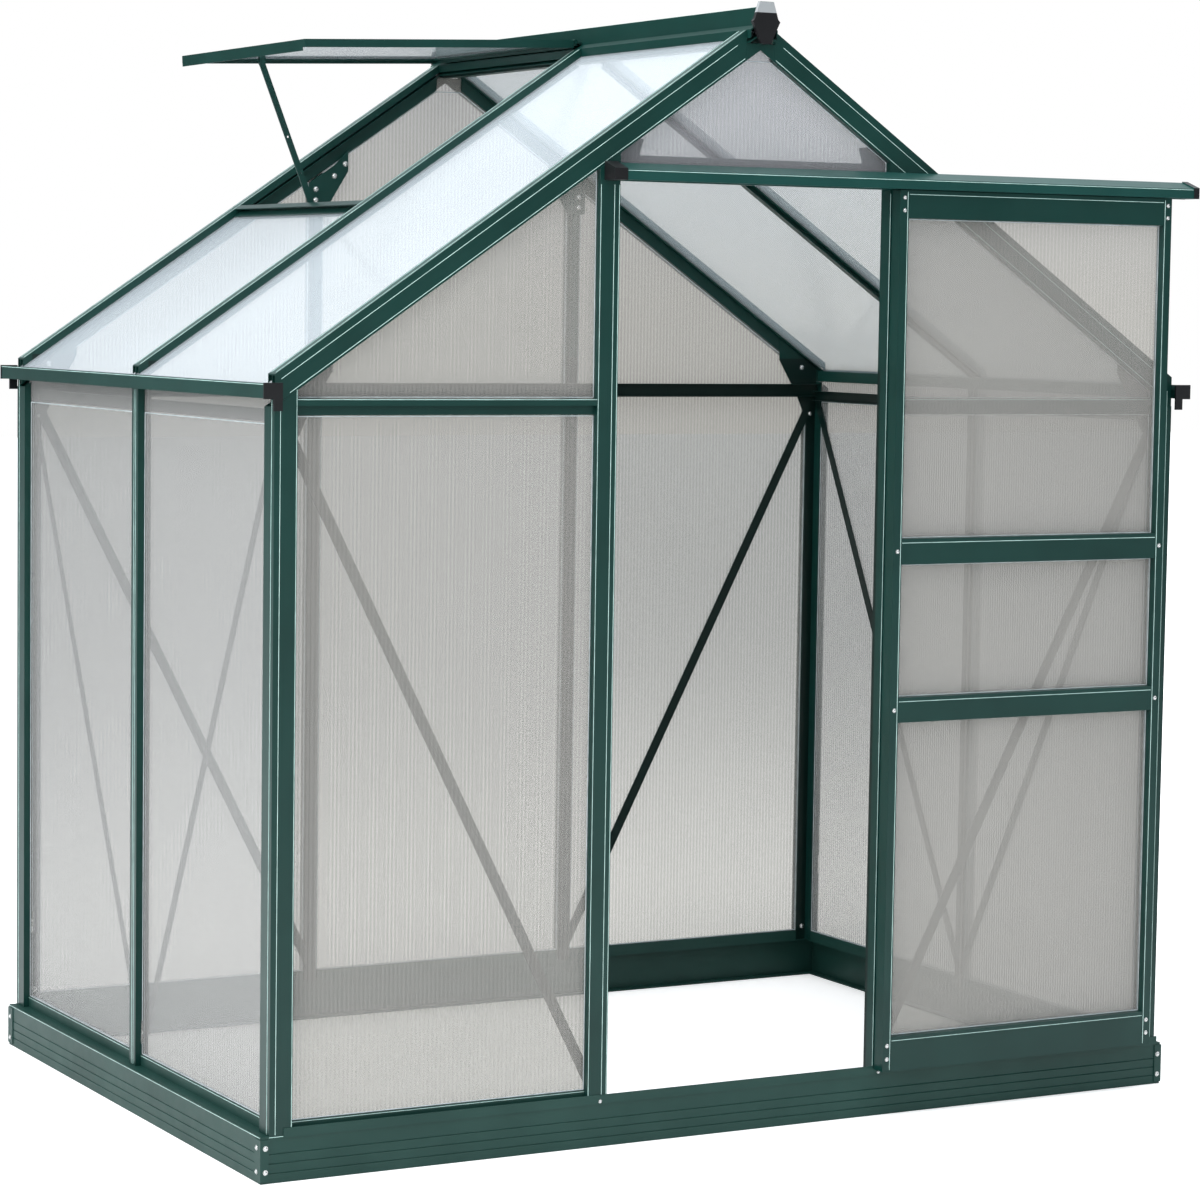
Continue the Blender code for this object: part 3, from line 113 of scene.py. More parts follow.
# Fixings: sizes, seats in from the faces, and places across them
BASE_SCREW, GUIDE_SCREW, FRAME_BOLT, DOOR_BOLT = 0.0034, 0.0024, 0.0042, 0.0030
BASE_SCREW_X = SIDE_FACE + 0.0075
GABLE_SCREWS_LEFT, GABLE_SCREWS_RIGHT = (0.061, 0.020), (0.058, 0.019)
SIDE_SCREWS = ((0.002, 0.061), (0.002, 0.020), (1.239, 0.058), (1.239, 0.016))
GUIDE_SCREWS = ((-0.292, 0.0812), (0.292, 0.0812))
GUSSET_SEAT, STUD_SEAT = 0.0216, 0.0290
GUSSET_BOLTS = ((0.868, 1.351), (0.891, 1.304), (0.892, 1.250), (0.896, 0.110))
STUD_BOLTS = ((0.238, 1.760), (0.262, 1.735), (0.303, 1.707), (0.303, 1.685))
STILE_BOLT_X, STILE_BOLT_HEIGHTS = (DOOR_LEFT + STILE_INNER) / 2, (1.683, 1.660, 1.044, 0.754, 0.135, 0.110)
CLIP_SIDES, CLIP_HALF_WIDTH, CLIP_HALF_HEIGHT = (SHEET_FACE + 0.0002, SHEET_FACE + 0.003), 0.002, 0.021
CLIP_PLACES = ((0.6025, 0.143), (1.1945, 0.253))

# Bolt heads: a washer and a low dome, both let in a little
SUNK = 0.0002
HEAD_SIDES = 14
WASHER_REACH, WASHER_THICK, HEAD_EDGE, DOME_RISE = 1.35, 0.0008, 0.0010, 0.45
DOME_STEPS = np.array((0.5, 0.95, 1.35))
# An axis crossed with this gives the side that its turn starts from, one long for X, Y and Z axes
SLANT = np.array((-1, -1, 1)) / math.sqrt(2)

# Edges, painted highlight lines and seals, in metres and degrees
BEVEL_WIDTH, BEVEL_ANGLE, SHARP_ANGLE = 0.0005, 40, 35
LINE_WIDTH, SEAL_WIDTH, LINE_PROUD = 0.0013, 0.0016, 0.0004

# Finishes: colours are linear, sizes in metres
COAT_DARK, COAT_LIGHT = (0.0030, 0.0300, 0.0245), (0.0048, 0.0390, 0.0320)
# Painted light: the track wears the frame's green painted lighter all over, for the light that falls on its
# sloped hood
LIT_TRACK_DARK, LIT_TRACK_LIGHT = (0.0055, 0.047, 0.040), (0.008, 0.058, 0.050)
BASE_DARK, BASE_LIGHT = (0.008, 0.042, 0.034), (0.014, 0.056, 0.046)
CAP_BLACK, CAP_GREY = (0.009, 0.009, 0.010), (0.34, 0.36, 0.37)
GUTTER_CAPS = (GUTTER_FRONT + 0.0048, GUTTER_BACK - 0.0048)
TRACK_CAPS = (TRACK_LEFT + 0.0265, TRACK_RIGHT - 0.0128)
RIDGE_CAP_CROWN = (-1.0, RIDGE_CAP_TOP - 0.01925)
COAT_SHINE, CAP_SHINE, BASE_SHINE = (0.26, 0.38), (0.28, 0.38), (0.36, 0.5)
# Box of the house's inner faces, where the coat is painted darker as painted shade, and the tone of that
# painted shade
INSIDE_HALF, INSIDE_FRONT, INSIDE_BACK, INSIDE_TOP, PAINTED_SHADE_TONE = 0.9056, 0.009, 1.2325, 1.37, 0.4
FLUTE_PITCH, FLUTE_DEPTH, RIB_DENSITY, RIB_TONE = 0.008, 0.0001, 0.16, 0.84
CLOUD_SCALE, CLOUD_DENSITY, CLOUD_BASE = 2.3, 0.06, 0.08
PLASTIC_PALE, PLASTIC_DUST = 1.5, 0.12
STEEL_TONE, STEEL_DUST, SCRATCHES = 0.75, 0.15, (900.0, 900.0, 40.0)


def camera():
    """The photo's camera: turned by its azimuth and elevation, then rolled about its own view."""
    level_share = math.cos(ELEVATION)
    forward = Vector((math.sin(AZIMUTH) * level_share, math.cos(AZIMUTH) * level_share, math.sin(ELEVATION)))
    level = Vector((math.cos(AZIMUTH), -math.sin(AZIMUTH), 0))
    upright = level.cross(forward)
    right = level * math.cos(ROLL) + upright * math.sin(ROLL)
    up = upright * math.cos(ROLL) - level * math.sin(ROLL)
    data = bpy.data.cameras.new("camera")
    data.lens = LENS
    data.sensor_width = SENSOR
    data.sensor_fit = "HORIZONTAL"
    data.clip_end = CLIP_END
    obj = bpy.data.objects.new("camera", data)
    axes = Matrix((right, up, -forward)).transposed().to_4x4()
    obj.matrix_world = Matrix.Translation(CAMERA_AT) @ axes
    bpy.context.scene.collection.objects.link(obj)
    bpy.context.scene.camera = obj


class Wiring:
    """A node tree, with short ways to add nodes and to feed their sockets by name."""

    def __init__(self, tree):
        self.tree = tree

    def feed(self, socket, value):
        if isinstance(value, bpy.types.NodeSocket):
            self.tree.links.new(value, socket)
        else:
            socket.default_value = value

    def add(self, kind, settings=None, **inputs):
        node = self.tree.nodes.new(kind)
        for key, value in (settings or {}).items():
            setattr(node, key, value)
        for key, value in inputs.items():
            self.feed(node.inputs[key.replace("_", " ")], value)
        return node

    def math(self, operation, *values):
        node = self.add("ShaderNodeMath", {"operation": operation})
        for socket, value in zip(node.inputs, values):
            self.feed(socket, value)
        return node.outputs[0]

    def mix(self, share, first, second):
        """Blend two colours: the node's sockets 0, 6 and 7 are its share and its colours."""
        node = self.add("ShaderNodeMix", {"data_type": "RGBA"})
        for place, value in ((0, share), (6, first), (7, second)):
            self.feed(node.inputs[place], value)
        return node.outputs[2]

    def ramp(self, value, stops):
        node = self.add("ShaderNodeValToRGB", Fac=value)
        elements = node.color_ramp.elements
        while len(elements) < len(stops):
            elements.new(0.5)
        for element, (at, colour) in zip(elements, stops):
            element.position = at
            element.color = opaque(colour)
        return node.outputs["Color"]

    def noise(self, given):
        return self.add(
            "ShaderNodeTexNoise", Vector=given["Vector"], Scale=given["Scale"], Detail=given["Detail"]
        ).outputs["Fac"]


def opaque(colour, tone=1.0):
    """A colour times a tone, with full alpha."""
    return (*(c * tone for c in colour), 1.0)


COLOUR, NUMBER, VECTOR = "NodeSocketColor", "NodeSocketFloat", "NodeSocketVector"
PATTERN = {"Vector": VECTOR, "Scale": NUMBER, "Detail": NUMBER}


def effect(name, given, made):
    """An empty node group with named sockets: its wiring, the values that go in, the sockets that go out."""
    tree = bpy.data.node_groups.new(name, "ShaderNodeTree")
    for direction, sockets in (("INPUT", given), ("OUTPUT", made)):
        for label, kind in sockets.items():
            tree.interface.new_socket(label, in_out=direction, socket_type=kind)
    group = Wiring(tree)
    return group, group.add("NodeGroupInput").outputs, group.add("NodeGroupOutput").inputs


def mottle_effect():
    """Two tones in soft patches: Dark where the noise is under Low, Light where it is over High."""
    sockets = {**PATTERN, "Low": NUMBER, "High": NUMBER, "Dark": COLOUR, "Light": COLOUR}
    group, given, made = effect("mottle", sockets, {"Color": COLOUR})
    share = group.add(
        "ShaderNodeMapRange", Value=group.noise(given), From_Min=given["Low"], From_Max=given["High"]
    )
    group.feed(made["Color"], group.mix(share.outputs["Result"], given["Dark"], given["Light"]))
    return group.tree


def dust_effect():
    """Uneven shine: roughness = Smooth + (Dull - Smooth) * noise."""
    group, given, made = effect("dust", {**PATTERN, "Smooth": NUMBER, "Dull": NUMBER}, {"Roughness": NUMBER})
    rough = group.add(
        "ShaderNodeMapRange", Value=group.noise(given), To_Min=given["Smooth"], To_Max=given["Dull"]
    )
    group.feed(made["Roughness"], rough.outputs["Result"])
    return group.tree


def grain_effect():
    """Fine relief: the surface rises by Depth * noise, as far as Strength lets it show."""
    group, given, made = effect("grain", {**PATTERN, "Depth": NUMBER, "Strength": NUMBER}, {"Normal": VECTOR})
    relief = group.add(
        "ShaderNodeBump", Height=group.noise(given), Distance=given["Depth"], Strength=given["Strength"]
    )
    group.feed(made["Normal"], relief.outputs["Normal"])
    return group.tree


def cap_effect():
    """Cap colour where Along is under From or over To, and the coat's own colour between them."""
    sockets = {"Along": NUMBER, "From": NUMBER, "To": NUMBER, "Coat": COLOUR, "Cap": COLOUR}
    group, given, made = effect("end_caps", sockets, {"Color": COLOUR})
    before = group.math("LESS_THAN", given["Along"], given["From"])
    after = group.math("GREATER_THAN", given["Along"], given["To"])
    group.feed(made["Color"], group.mix(group.math("ADD", before, after), given["Coat"], given["Cap"]))
    return group.tree


def flute_effect():
    """Twin walls: wave = (1 + sin(2 pi Across / pitch)) / 2, and its square are the ribs, which are
    darker and denser than the clear walls between them. A slow noise clouds the density."""
    sockets = {**PATTERN, "Across": NUMBER, "Density": NUMBER, "Clear": COLOUR, "Rib": COLOUR}
    group, given, made = effect("flutes", sockets, {"Color": COLOUR, "Alpha": NUMBER, "Normal": VECTOR})
    phase = group.math("MULTIPLY", given["Across"], 2 * math.pi / FLUTE_PITCH)
    wave = group.math("MULTIPLY_ADD", group.math("SINE", phase), 0.5, 0.5)
    rib = group.math("POWER", wave, 2.0)
    cloud = group.math("MULTIPLY_ADD", group.noise(given), CLOUD_DENSITY, given["Density"])
    relief = group.add("ShaderNodeBump", Height=wave, Distance=FLUTE_DEPTH, Strength=0.2)
    group.feed(made["Color"], group.mix(rib, given["Clear"], given["Rib"]))
    group.feed(made["Alpha"], group.math("MULTIPLY_ADD", rib, RIB_DENSITY, cloud))
    group.feed(made["Normal"], relief.outputs["Normal"])
    return group.tree


MOTTLE, DUST, GRAIN, CAPS, FLUTES = (
    mottle_effect(), dust_effect(), grain_effect(), cap_effect(), flute_effect()
)


class Finish(Wiring):
    """A material with one Principled shader, dressed by the shared effects."""

    def __init__(self, name, **values):
        self.material = bpy.data.materials.new(name)
        self.material.use_nodes = True
        super().__init__(self.material.node_tree)
        self.shader = self.tree.nodes["Principled BSDF"]
        for key, value in values.items():
            self.shader.inputs[key.replace("_", " ")].default_value = value
        self.place = self.add("ShaderNodeTexCoord").outputs["Object"]
        self.pattern = self.place

    def wear(self, name, value):
        """Feed one of the shader's sockets."""
        self.feed(self.shader.inputs[name], value)

    def use(self, group, **inputs):
        return self.add("ShaderNodeGroup", {"node_tree": group}, **inputs).outputs

    def split(self):
        return self.add("ShaderNodeSeparateXYZ", Vector=self.place).outputs

    def mottle(self, scale, low, high, dark, light, detail=3.0):
        return self.use(
            MOTTLE, Vector=self.pattern, Scale=scale, Detail=detail, Low=low, High=high,
            Dark=opaque(dark), Light=opaque(light),
        )["Color"]

    def dust(self, scale, smooth, dull, detail=3.0):
        made = self.use(DUST, Vector=self.pattern, Scale=scale, Detail=detail, Smooth=smooth, Dull=dull)
        self.wear("Roughness", made["Roughness"])

    def grain(self, scale, depth, strength, detail=3.0):
        made = self.use(
            GRAIN, Vector=self.pattern, Scale=scale, Detail=detail, Depth=depth, Strength=strength
        )
        self.wear("Normal", made["Normal"])


def coat_finish(name, dark=COAT_DARK, light=COAT_LIGHT, shine=COAT_SHINE, caps=None, painted_shade=False):
    """Glossy powder coat: faint patches of tone, a fine orange-peel surface and dusty roughness.

    `caps` is (axis, from, to, colour): past those coordinates the piece is a moulded end cap.
    `painted_shade` pieces get painted shade: their faces inside the house are painted darker.
    """
    coat = Finish(name, Specular_IOR_Level=0.32)
    tone = coat.mottle(scale=7.0, low=0.3, high=0.7, dark=dark, light=light)
    if painted_shade:
        # Painted shade: faces inside the house take a darker tone of the coat
        tone = coat.mix(painted_shade_mask(coat), tone, opaque(dark, PAINTED_SHADE_TONE))
    if caps:
        axis, low, high, colour = caps
        along = coat.split()[axis]
        tone = coat.use(CAPS, Along=along, From=low, To=high, Coat=tone, Cap=opaque(colour))["Color"]
    coat.wear("Base Color", tone)
    coat.dust(23.0, *shine)
    coat.grain(scale=1400.0, depth=0.00012, strength=0.35, detail=2.0)
    return coat.material


def painted_shade_mask(coat):
    """Where the shade inside the house is painted: 1 inside the box of the house's inner faces, 0 outside it.
    """
    place = coat.split()
    mask = coat.math("LESS_THAN", coat.math("ABSOLUTE", place["X"]), INSIDE_HALF)
    for test, axis, edge in (
        ("GREATER_THAN", "Y", INSIDE_FRONT),
        ("LESS_THAN", "Y", INSIDE_BACK),
        ("LESS_THAN", "Z", INSIDE_TOP),
    ):
        mask = coat.math("MULTIPLY", mask, coat.math(test, place[axis], edge))
    return mask


def sheet_finish(name, axis, tint, density):
    """Twin-wall sheet: flutes across `axis` show as fine ribs that are denser than the clear walls."""
    sheet = Finish(name, IOR=1.49)
    made = sheet.use(
        FLUTES, Vector=sheet.pattern, Scale=CLOUD_SCALE, Detail=3.0, Across=sheet.split()[axis],
        Density=density - CLOUD_BASE, Clear=opaque(tint), Rib=opaque(tint, RIB_TONE),
    )
    sheet.wear("Base Color", made["Color"])
    sheet.wear("Alpha", made["Alpha"])
    sheet.wear("Normal", made["Normal"])
    sheet.dust(scale=9.0, smooth=0.12, dull=0.2)
    return sheet.material


def plastic_finish(name, colour, roughness):
    """Moulded plastic with a faint grain."""
    plastic = Finish(name)
    pale = tuple(c * PLASTIC_PALE for c in colour)
    plastic.wear("Base Color", plastic.mottle(scale=40.0, low=0.35, high=0.75, dark=colour, light=pale))
    plastic.dust(scale=300.0, smooth=roughness, dull=roughness + PLASTIC_DUST)
    plastic.grain(scale=2200.0, depth=0.00008, strength=0.4)
    return plastic.material


def steel_finish(name, colour, roughness):
    """Plated metal with fine scratches along its length."""
    steel = Finish(name, Metallic=1.0)
    steel.pattern = steel.add("ShaderNodeMapping", Vector=steel.place, Scale=SCRATCHES).outputs["Vector"]
    dull = tuple(c * STEEL_TONE for c in colour)
    steel.wear("Base Color", steel.mottle(scale=1.0, low=0.3, high=0.7, dark=dull, light=colour, detail=4.0))
    steel.dust(scale=1.0, smooth=roughness, dull=roughness + STEEL_DUST, detail=4.0)
    steel.grain(scale=1.0, depth=0.00005, strength=0.3, detail=4.0)
    return steel.material


MATERIALS = {
    "coat": coat_finish("green_coat", painted_shade=True),
    "gutter": coat_finish("gutter_coat", caps=("Y", *GUTTER_CAPS, CAP_BLACK)),
    # The track's coat is painted lighter: painted light on its hood
    "track": coat_finish("track_coat_painted_lighter", LIT_TRACK_DARK, LIT_TRACK_LIGHT, caps=("X", *TRACK_CAPS, CAP_BLACK)),
    "cap": coat_finish("cap_plastic", CAP_BLACK, CAP_BLACK, CAP_SHINE, ("Z", *RIDGE_CAP_CROWN, CAP_GREY)),
    "base": coat_finish("base_coat", BASE_DARK, BASE_LIGHT, BASE_SHINE),
    "sheet_x": sheet_finish("sheet_flutes_x", "X", (0.50, 0.485, 0.46), 0.335),
    "sheet_y": sheet_finish("sheet_flutes_y", "Y", (0.42, 0.42, 0.415), 0.43),
    "gable": sheet_finish("gable_flutes", "X", (0.49, 0.48, 0.51), 0.34),
    "roof": sheet_finish("roof_flutes", "Y", (0.76, 0.84, 0.90), 0.32),
    "black": plastic_finish("black_plastic", (0.010, 0.011, 0.011), 0.30),
    "steel": steel_finish("plated_steel", (0.80, 0.81, 0.80), 0.18),
    "seal": plastic_finish("pale_seal", (0.42, 0.48, 0.50), 0.45),
    # Pale aqua lines: painted highlights along the edges of the extrusions
    "line": plastic_finish("pale_highlight_paint", (0.42, 0.60, 0.56), 0.16),
}
SHEETS = ("sheet_x", "sheet_y", "gable", "roof")

# The first start that fits a node's name gives its material; the rest wear the green coat
WORN_BY = (
    ("sheet_roof", "roof"), ("vent_pane", "roof"), ("sheet_left", "sheet_y"), ("sheet_right", "sheet_y"),
    ("sheet_gable_front", "gable"), ("sheet_", "sheet_x"), ("door_pane", "sheet_x"), ("base_", "base"),
    ("ridge_cap", "cap"), ("door_roller", "black"), ("gutter", "gutter"), ("door_track", "track"),
)


def dress_nodes():
    """Give every CAD node its finish, and break the sharp edges of all but the sheets."""
    for name, obj in NODES.items():
        key = next((worn for start, worn in WORN_BY if name.startswith(start)), "coat")
        if not obj.material_slots:
            obj.data.materials.append(None)
        for item in obj.material_slots:
            item.material = MATERIALS[key]
        if key not in SHEETS:
            bevel = obj.modifiers.new("edges", "BEVEL")
            bevel.width = BEVEL_WIDTH
            bevel.segments = 2
            bevel.limit_method = "ANGLE"
            bevel.angle_limit = math.radians(BEVEL_ANGLE)
            bevel.harden_normals = True


def closed_tubes(grids):
    """Skins over grids of rings (tube, ring, point of the ring, xyz).

    Quads join neighbours along and round each tube, and a polygon closes each end.
    Rings that turn anticlockwise about the way they follow each other make faces that point outwards.
    """
    index = np.arange(grids[..., 0].size).reshape(grids.shape[:3])
    after = np.roll(index, -1, axis=2)
    quads = np.stack((index[:, :-1], after[:, :-1], after[:, 1:], index[:, 1:]), axis=-1)
    ends = np.concatenate((index[:, 0, ::-1], index[:, -1]))
    return grids.reshape(-1, 3).tolist(), quads.reshape(-1, 4).tolist() + ends.tolist()


def piece(name, grids, material, body):
    """Turn grids of rings into a piece of the object that rides on a body."""
    points, faces = closed_tubes(grids)
    mesh = bpy.data.meshes.new(name)
    mesh.from_pydata(points, [], faces)
    mesh.shade_smooth()
    mesh.set_sharp_from_angle(angle=math.radians(SHARP_ANGLE))
    mesh.materials.append(MATERIALS[material])
    obj = bpy.data.objects.new(name, mesh)
    bpy.context.scene.collection.objects.link(obj)
    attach(obj, body)
    return obj


def head_profile(radius):
    """Radius and height of each ring: a washer, a short upright edge, then a dome
    (radius cos t, edge + rise sin t)."""
    washer = WASHER_REACH * radius
    edge = WASHER_THICK + HEAD_EDGE
    foot = np.array(((washer, -SUNK), (washer, WASHER_THICK), (radius, WASHER_THICK), (radius, edge)))
    dome = np.stack((radius * np.cos(DOME_STEPS), edge + radius * DOME_RISE * np.sin(DOME_STEPS)), axis=1)
    return np.concatenate((foot, dome))


def bolts(name, places, body, radius=FRAME_BOLT):
    """Turned heads at (point, outward axis).

    Point (ring, turn) = at + axis * height(ring) + (side * cos turn + other * sin turn) * radius(ring).
    """
    at, axis = np.array(places, float).transpose(1, 0, 2)[:, :, None, None]
    side = np.cross(axis, SLANT)
    other = np.cross(axis, side)
    reach, height = head_profile(radius).T[:, :, None, None]
    turn = 2 * np.pi * np.arange(HEAD_SIDES)[:, None] / HEAD_SIDES
    rings = at + axis * height + (side * np.cos(turn) + other * np.sin(turn)) * reach
    return piece(name, rings, "steel", body)


def facing(y, direction, points):
    """Places on a plane across Y, from (x, z) pairs."""
    return [((x, y, z), direction) for x, z in points]


def beside(x, direction, points):
    """Places on a plane across X, from (y, z) pairs."""
    return [((x, y, z), direction) for y, z in points]


def mirrored(points, middle=0.0):
    """Points (x, z) and their mirror about an upright line."""
    return [*points, *((2 * middle - x, z) for x, z in points)]


def fixings():
    """The bolts and screws that show: base corners, guide, gussets, studs and door."""
    corners = [(-BASE_SCREW_X, z) for z in GABLE_SCREWS_LEFT]
    corners += [(BASE_SCREW_X, z) for z in GABLE_SCREWS_RIGHT]
    places = facing(BASE_CORNERS[0], FRONT, corners) + facing(BASE_CORNERS[1], BACK, corners)
    for side, out in SIDES:
        places += beside(side * BASE_SIDE, out, SIDE_SCREWS)
    bolts("base_screws", places, "frame", BASE_SCREW)
    bolts("guide_screws", facing(BASE_FRONT, FRONT, GUIDE_SCREWS), "frame", GUIDE_SCREW)
    gussets = mirrored(GUSSET_BOLTS)
    bolts("rear_gusset_bolts", facing(REAR_FACE - GUSSET_SEAT, FRONT, gussets), "frame")
    bolts("front_gusset_bolts", facing(FRONT_FACE + GUSSET_SEAT, BACK, gussets), "frame")
    bolts("stud_bolts", facing(REAR_FACE - STUD_SEAT, FRONT, mirrored(STUD_BOLTS)), "frame")
    stiles = mirrored([(STILE_BOLT_X, z) for z in STILE_BOLT_HEIGHTS], DOOR_MIDDLE)
    bolts("door_bolts", facing(DOOR_FACE, FRONT, stiles), "door", DOOR_BOLT)


def lines(name, segments, body, width=LINE_WIDTH, material="line"):
    """Slim ridges along (start, end, outward) segments: painted highlights in the default material, seals in
    the pale one.

    Point (end, k) = end + side * width * across(k) + out * height(k), and side is square to both.
    """
    start, end, out = np.array(segments, float).transpose(1, 0, 2)
    along = (end - start) / np.linalg.norm(end - start, axis=1, keepdims=True)
    side = np.cross(along, out)[:, None, None]
    across = width * np.array((-0.5, -0.25, 0.25, 0.5))[:, None]
    height = np.array((-SUNK, LINE_PROUD, LINE_PROUD, -SUNK))[:, None]
    ends = np.stack((start, end), axis=1)[:, :, None]
    return piece(name, ends + side * across + out[:, None, None] * height, material, body)


def rising(x, y, low, high, out):
    """A line straight up."""
    return ((x, y, low), (x, y, high), out)


def crossing(y, z, left, right, out):
    """A line from side to side."""
    return ((left, y, z), (right, y, z), out)


def running(x, z, front, back, out):
    """A line from front to back."""
    return ((x, front, z), (x, back, z), out)


def on_slope(side, down, y, depth=0.0):
    """A point so far down one slope from the apex, and so deep under the roof's outer faces."""
    across = down * math.cos(PITCH) - depth * math.sin(PITCH)
    return (side * across, y, APEX - down * math.sin(PITCH) - depth * math.cos(PITCH))


def slope_normal(side):
    """Outward direction of one slope."""
    return (side * math.sin(PITCH), 0, math.cos(PITCH))


def wall_lines(side, out):
    """Painted highlight lines along one side's posts, wall bars, jamb, front rail and channel lips."""
    found = []
    for inset in POST_LINES:
        x = side * (SIDE_FACE - inset)
        found.append(rising(x, FRONT_FACE, LINE_FOOT, POST_LINE_TOP, FRONT))
        found.append(rising(x, REAR_FACE, LINE_FOOT, POST_LINE_TOP, BACK))
    for y in (FRONT_FACE + POST_LINES[0], REAR_FACE - POST_LINES[0], MIDDLE + BAR_LINE, MIDDLE - BAR_LINE):
        found.append(rising(side * SIDE_FACE, y, LINE_FOOT, WALL_LINE_TOP, out))
    for x in JAMB_LINES:
        found.append(rising(side * x, FRONT_FACE, LINE_FOOT, JAMB_LINE_TOP, FRONT))
    near, far = side * BAY_LINE[0], side * BAY_LINE[1]
    found.append(crossing(FRONT_FACE, RAIL_LINE, near, far, FRONT))
    found.append(crossing(FRONT_FACE + LIP_INSET, LIP_HEIGHT, near, far, FRONT))
    for front, back in LIP_RUNS:
        found.append(running(side * (SIDE_FACE - LIP_INSET), LIP_HEIGHT, front, back, out))
    found.append(running(side * (BASE_SIDE - BASE_RIB), BASE_SIDE_EDGE, *BASE_RUN, out))
    return found


def roof_lines(side, out):
    """Painted highlight lines along one side's gutter, ridge edge, roof bars and gable rafters."""
    found = [running(side * GUTTER_EDGE, GUTTER_HEIGHT, *GUTTER_ENDS, out)]
    found.append(running(side * RIDGE_EDGE, RIDGE_TOP, *RIDGE_ENDS, TOP))
    bars = [MIDDLE - ROOF_BAR_LINE, MIDDLE + ROOF_BAR_LINE]
    for inset in GABLE_BAR_LINES:
        bars += [FRONT_FACE + inset, REAR_FACE - inset]
    for y in bars:
        found.append((on_slope(side, BAR_HEAD, y), on_slope(side, SLOPE_FOOT, y), slope_normal(side)))
    for y, face in ((FRONT_FACE, FRONT), (REAR_FACE, BACK)):
        for depth in RAFTER_LINES:
            head, foot = (on_slope(side, down, y, depth) for down in (RAFTER_HEAD, SLOPE_FOOT))
            found.append((head, foot, face))
    return found


def painted_highlights():
    """Painted highlights: pale lines along the edges of the frame and the door."""
    found = []
    for side, out in SIDES:
        found += wall_lines(side, out) + roof_lines(side, out)
    for y, out in ((FRONT_FACE, FRONT), (REAR_FACE, BACK)):
        found.append(crossing(y, BASE_GABLE_EDGE, -SIDE_FACE, SIDE_FACE, out))
    found.append(crossing(TRACK_LIP, TRACK_EDGE, *TRACK_ENDS, FRONT))
    lines("painted_highlights", found, "frame")
    found = [crossing(DOOR_FACE, z, *DOOR_RAIL_ENDS, FRONT) for z in DOOR_RAIL_LINES]
    found += [rising(x, DOOR_FACE, *DOOR_STILE_ENDS, FRONT) for x in DOOR_STILE_LINES]
    lines("door_painted_highlights", found, "door")


def loop(corners, out):
    """Segments from corner to corner, and back to the first."""
    return [(corners[i - 1], corners[i], out) for i in range(len(corners))]


def gable_border(y, out, outline):
    """Segments round a pane that stands across Y, from its (x, z) corners."""
    return loop([(x, y, z) for x, z in outline], out)


def side_border(x, out, outline):
    """Segments round a pane that stands across X, from its (y, z) corners."""
    return loop([(x, y, z) for y, z in outline], out)


def under_rafter(x):
    """Height of the rafter's lower edge, where the gable panes end."""
    return APEX - abs(x) * math.tan(PITCH) - UNDER_RAFTER


def level_outline(near, far, foot, head):
    """Outline of a pane with a level head."""
    return [(near, foot), (far, foot), (far, head), (near, head)]


def raked_outline(near, far, foot):
    """Outline of a pane that ends under the rafter."""
    return [(near, foot), (far, foot), (far, under_rafter(far)), (near, under_rafter(near))]


def gable_outline(half, foot):
    """Outline of the pane under the ridge: upright sides and a crown cut level."""
    heads = [(x, under_rafter(x)) for x in (half, CROWN_HALF, -CROWN_HALF, -half)]
    return [(-half, foot), (half, foot), *heads]


def seals():
    """Pale beads along the edges of the panes, on the faces that show."""
    face = FRONT_FACE + PANE_FRONT
    rear_faces = ((REAR_FACE - PANE_FRONT, BACK), (REAR_FACE - PANE_BACK, FRONT))
    found = gable_border(face, FRONT, gable_outline(GABLE_HALF, TRACK_EDGE))
    for y, out in rear_faces:
        found += gable_border(y, out, gable_outline(REAR_HALF, PANE_FOOT))
    for side, outward in SIDES:
        near, far = side * FRONT_BAY[0], side * FRONT_BAY[1]
        found += gable_border(face, FRONT, level_outline(near, far, PANE_FOOT, RAIL_GAP[0]))
        found += gable_border(face, FRONT, raked_outline(near, far, RAIL_GAP[1]))
        near, far = side * REAR_BAY[0], side * REAR_BAY[1]
        for y, out in rear_faces:
            found += gable_border(y, out, raked_outline(near, far, PANE_FOOT))
        for inset, out in ((PANE_FRONT, outward), (PANE_BACK, (-side, 0, 0))):
            for front, back in SIDE_BAYS:
                outline = level_outline(front, back, PANE_FOOT, SIDE_PANE_TOP)
                found += side_border(side * (SIDE_FACE - inset), out, outline)
    lines("pane_seals", found, "frame", SEAL_WIDTH, "seal")
    found = []
    for low, high in zip(DOOR_PANE_FEET, DOOR_PANE_HEADS):
        outline = level_outline(*DOOR_PANE_X, low, high)
        found += gable_border(DOOR_FACE + PANE_FRONT, FRONT, outline)
        found += gable_border(DOOR_FACE + PANE_BACK, BACK, outline)
    lines("door_seals", found, "door", SEAL_WIDTH, "seal")


def clips():
    """Bright sheet clips beside the bars of the left wall, and their mirror on the right.

    Each is a box: the ring of its four corners, at its lowest and its highest level.
    """
    boxes = []
    for side, _ in SIDES:
        x0, x1 = sorted(side * x for x in CLIP_SIDES)
        for y, z in CLIP_PLACES:
            y0, y1 = y - CLIP_HALF_WIDTH, y + CLIP_HALF_WIDTH
            levels = (z - CLIP_HALF_HEIGHT, z + CLIP_HALF_HEIGHT)
            ring = ((x0, y0), (x1, y0), (x1, y1), (x0, y1))
            boxes.append([[(*corner, level) for corner in ring] for level in levels])
    piece("sheet_clips", np.array(boxes), "steel", "frame")


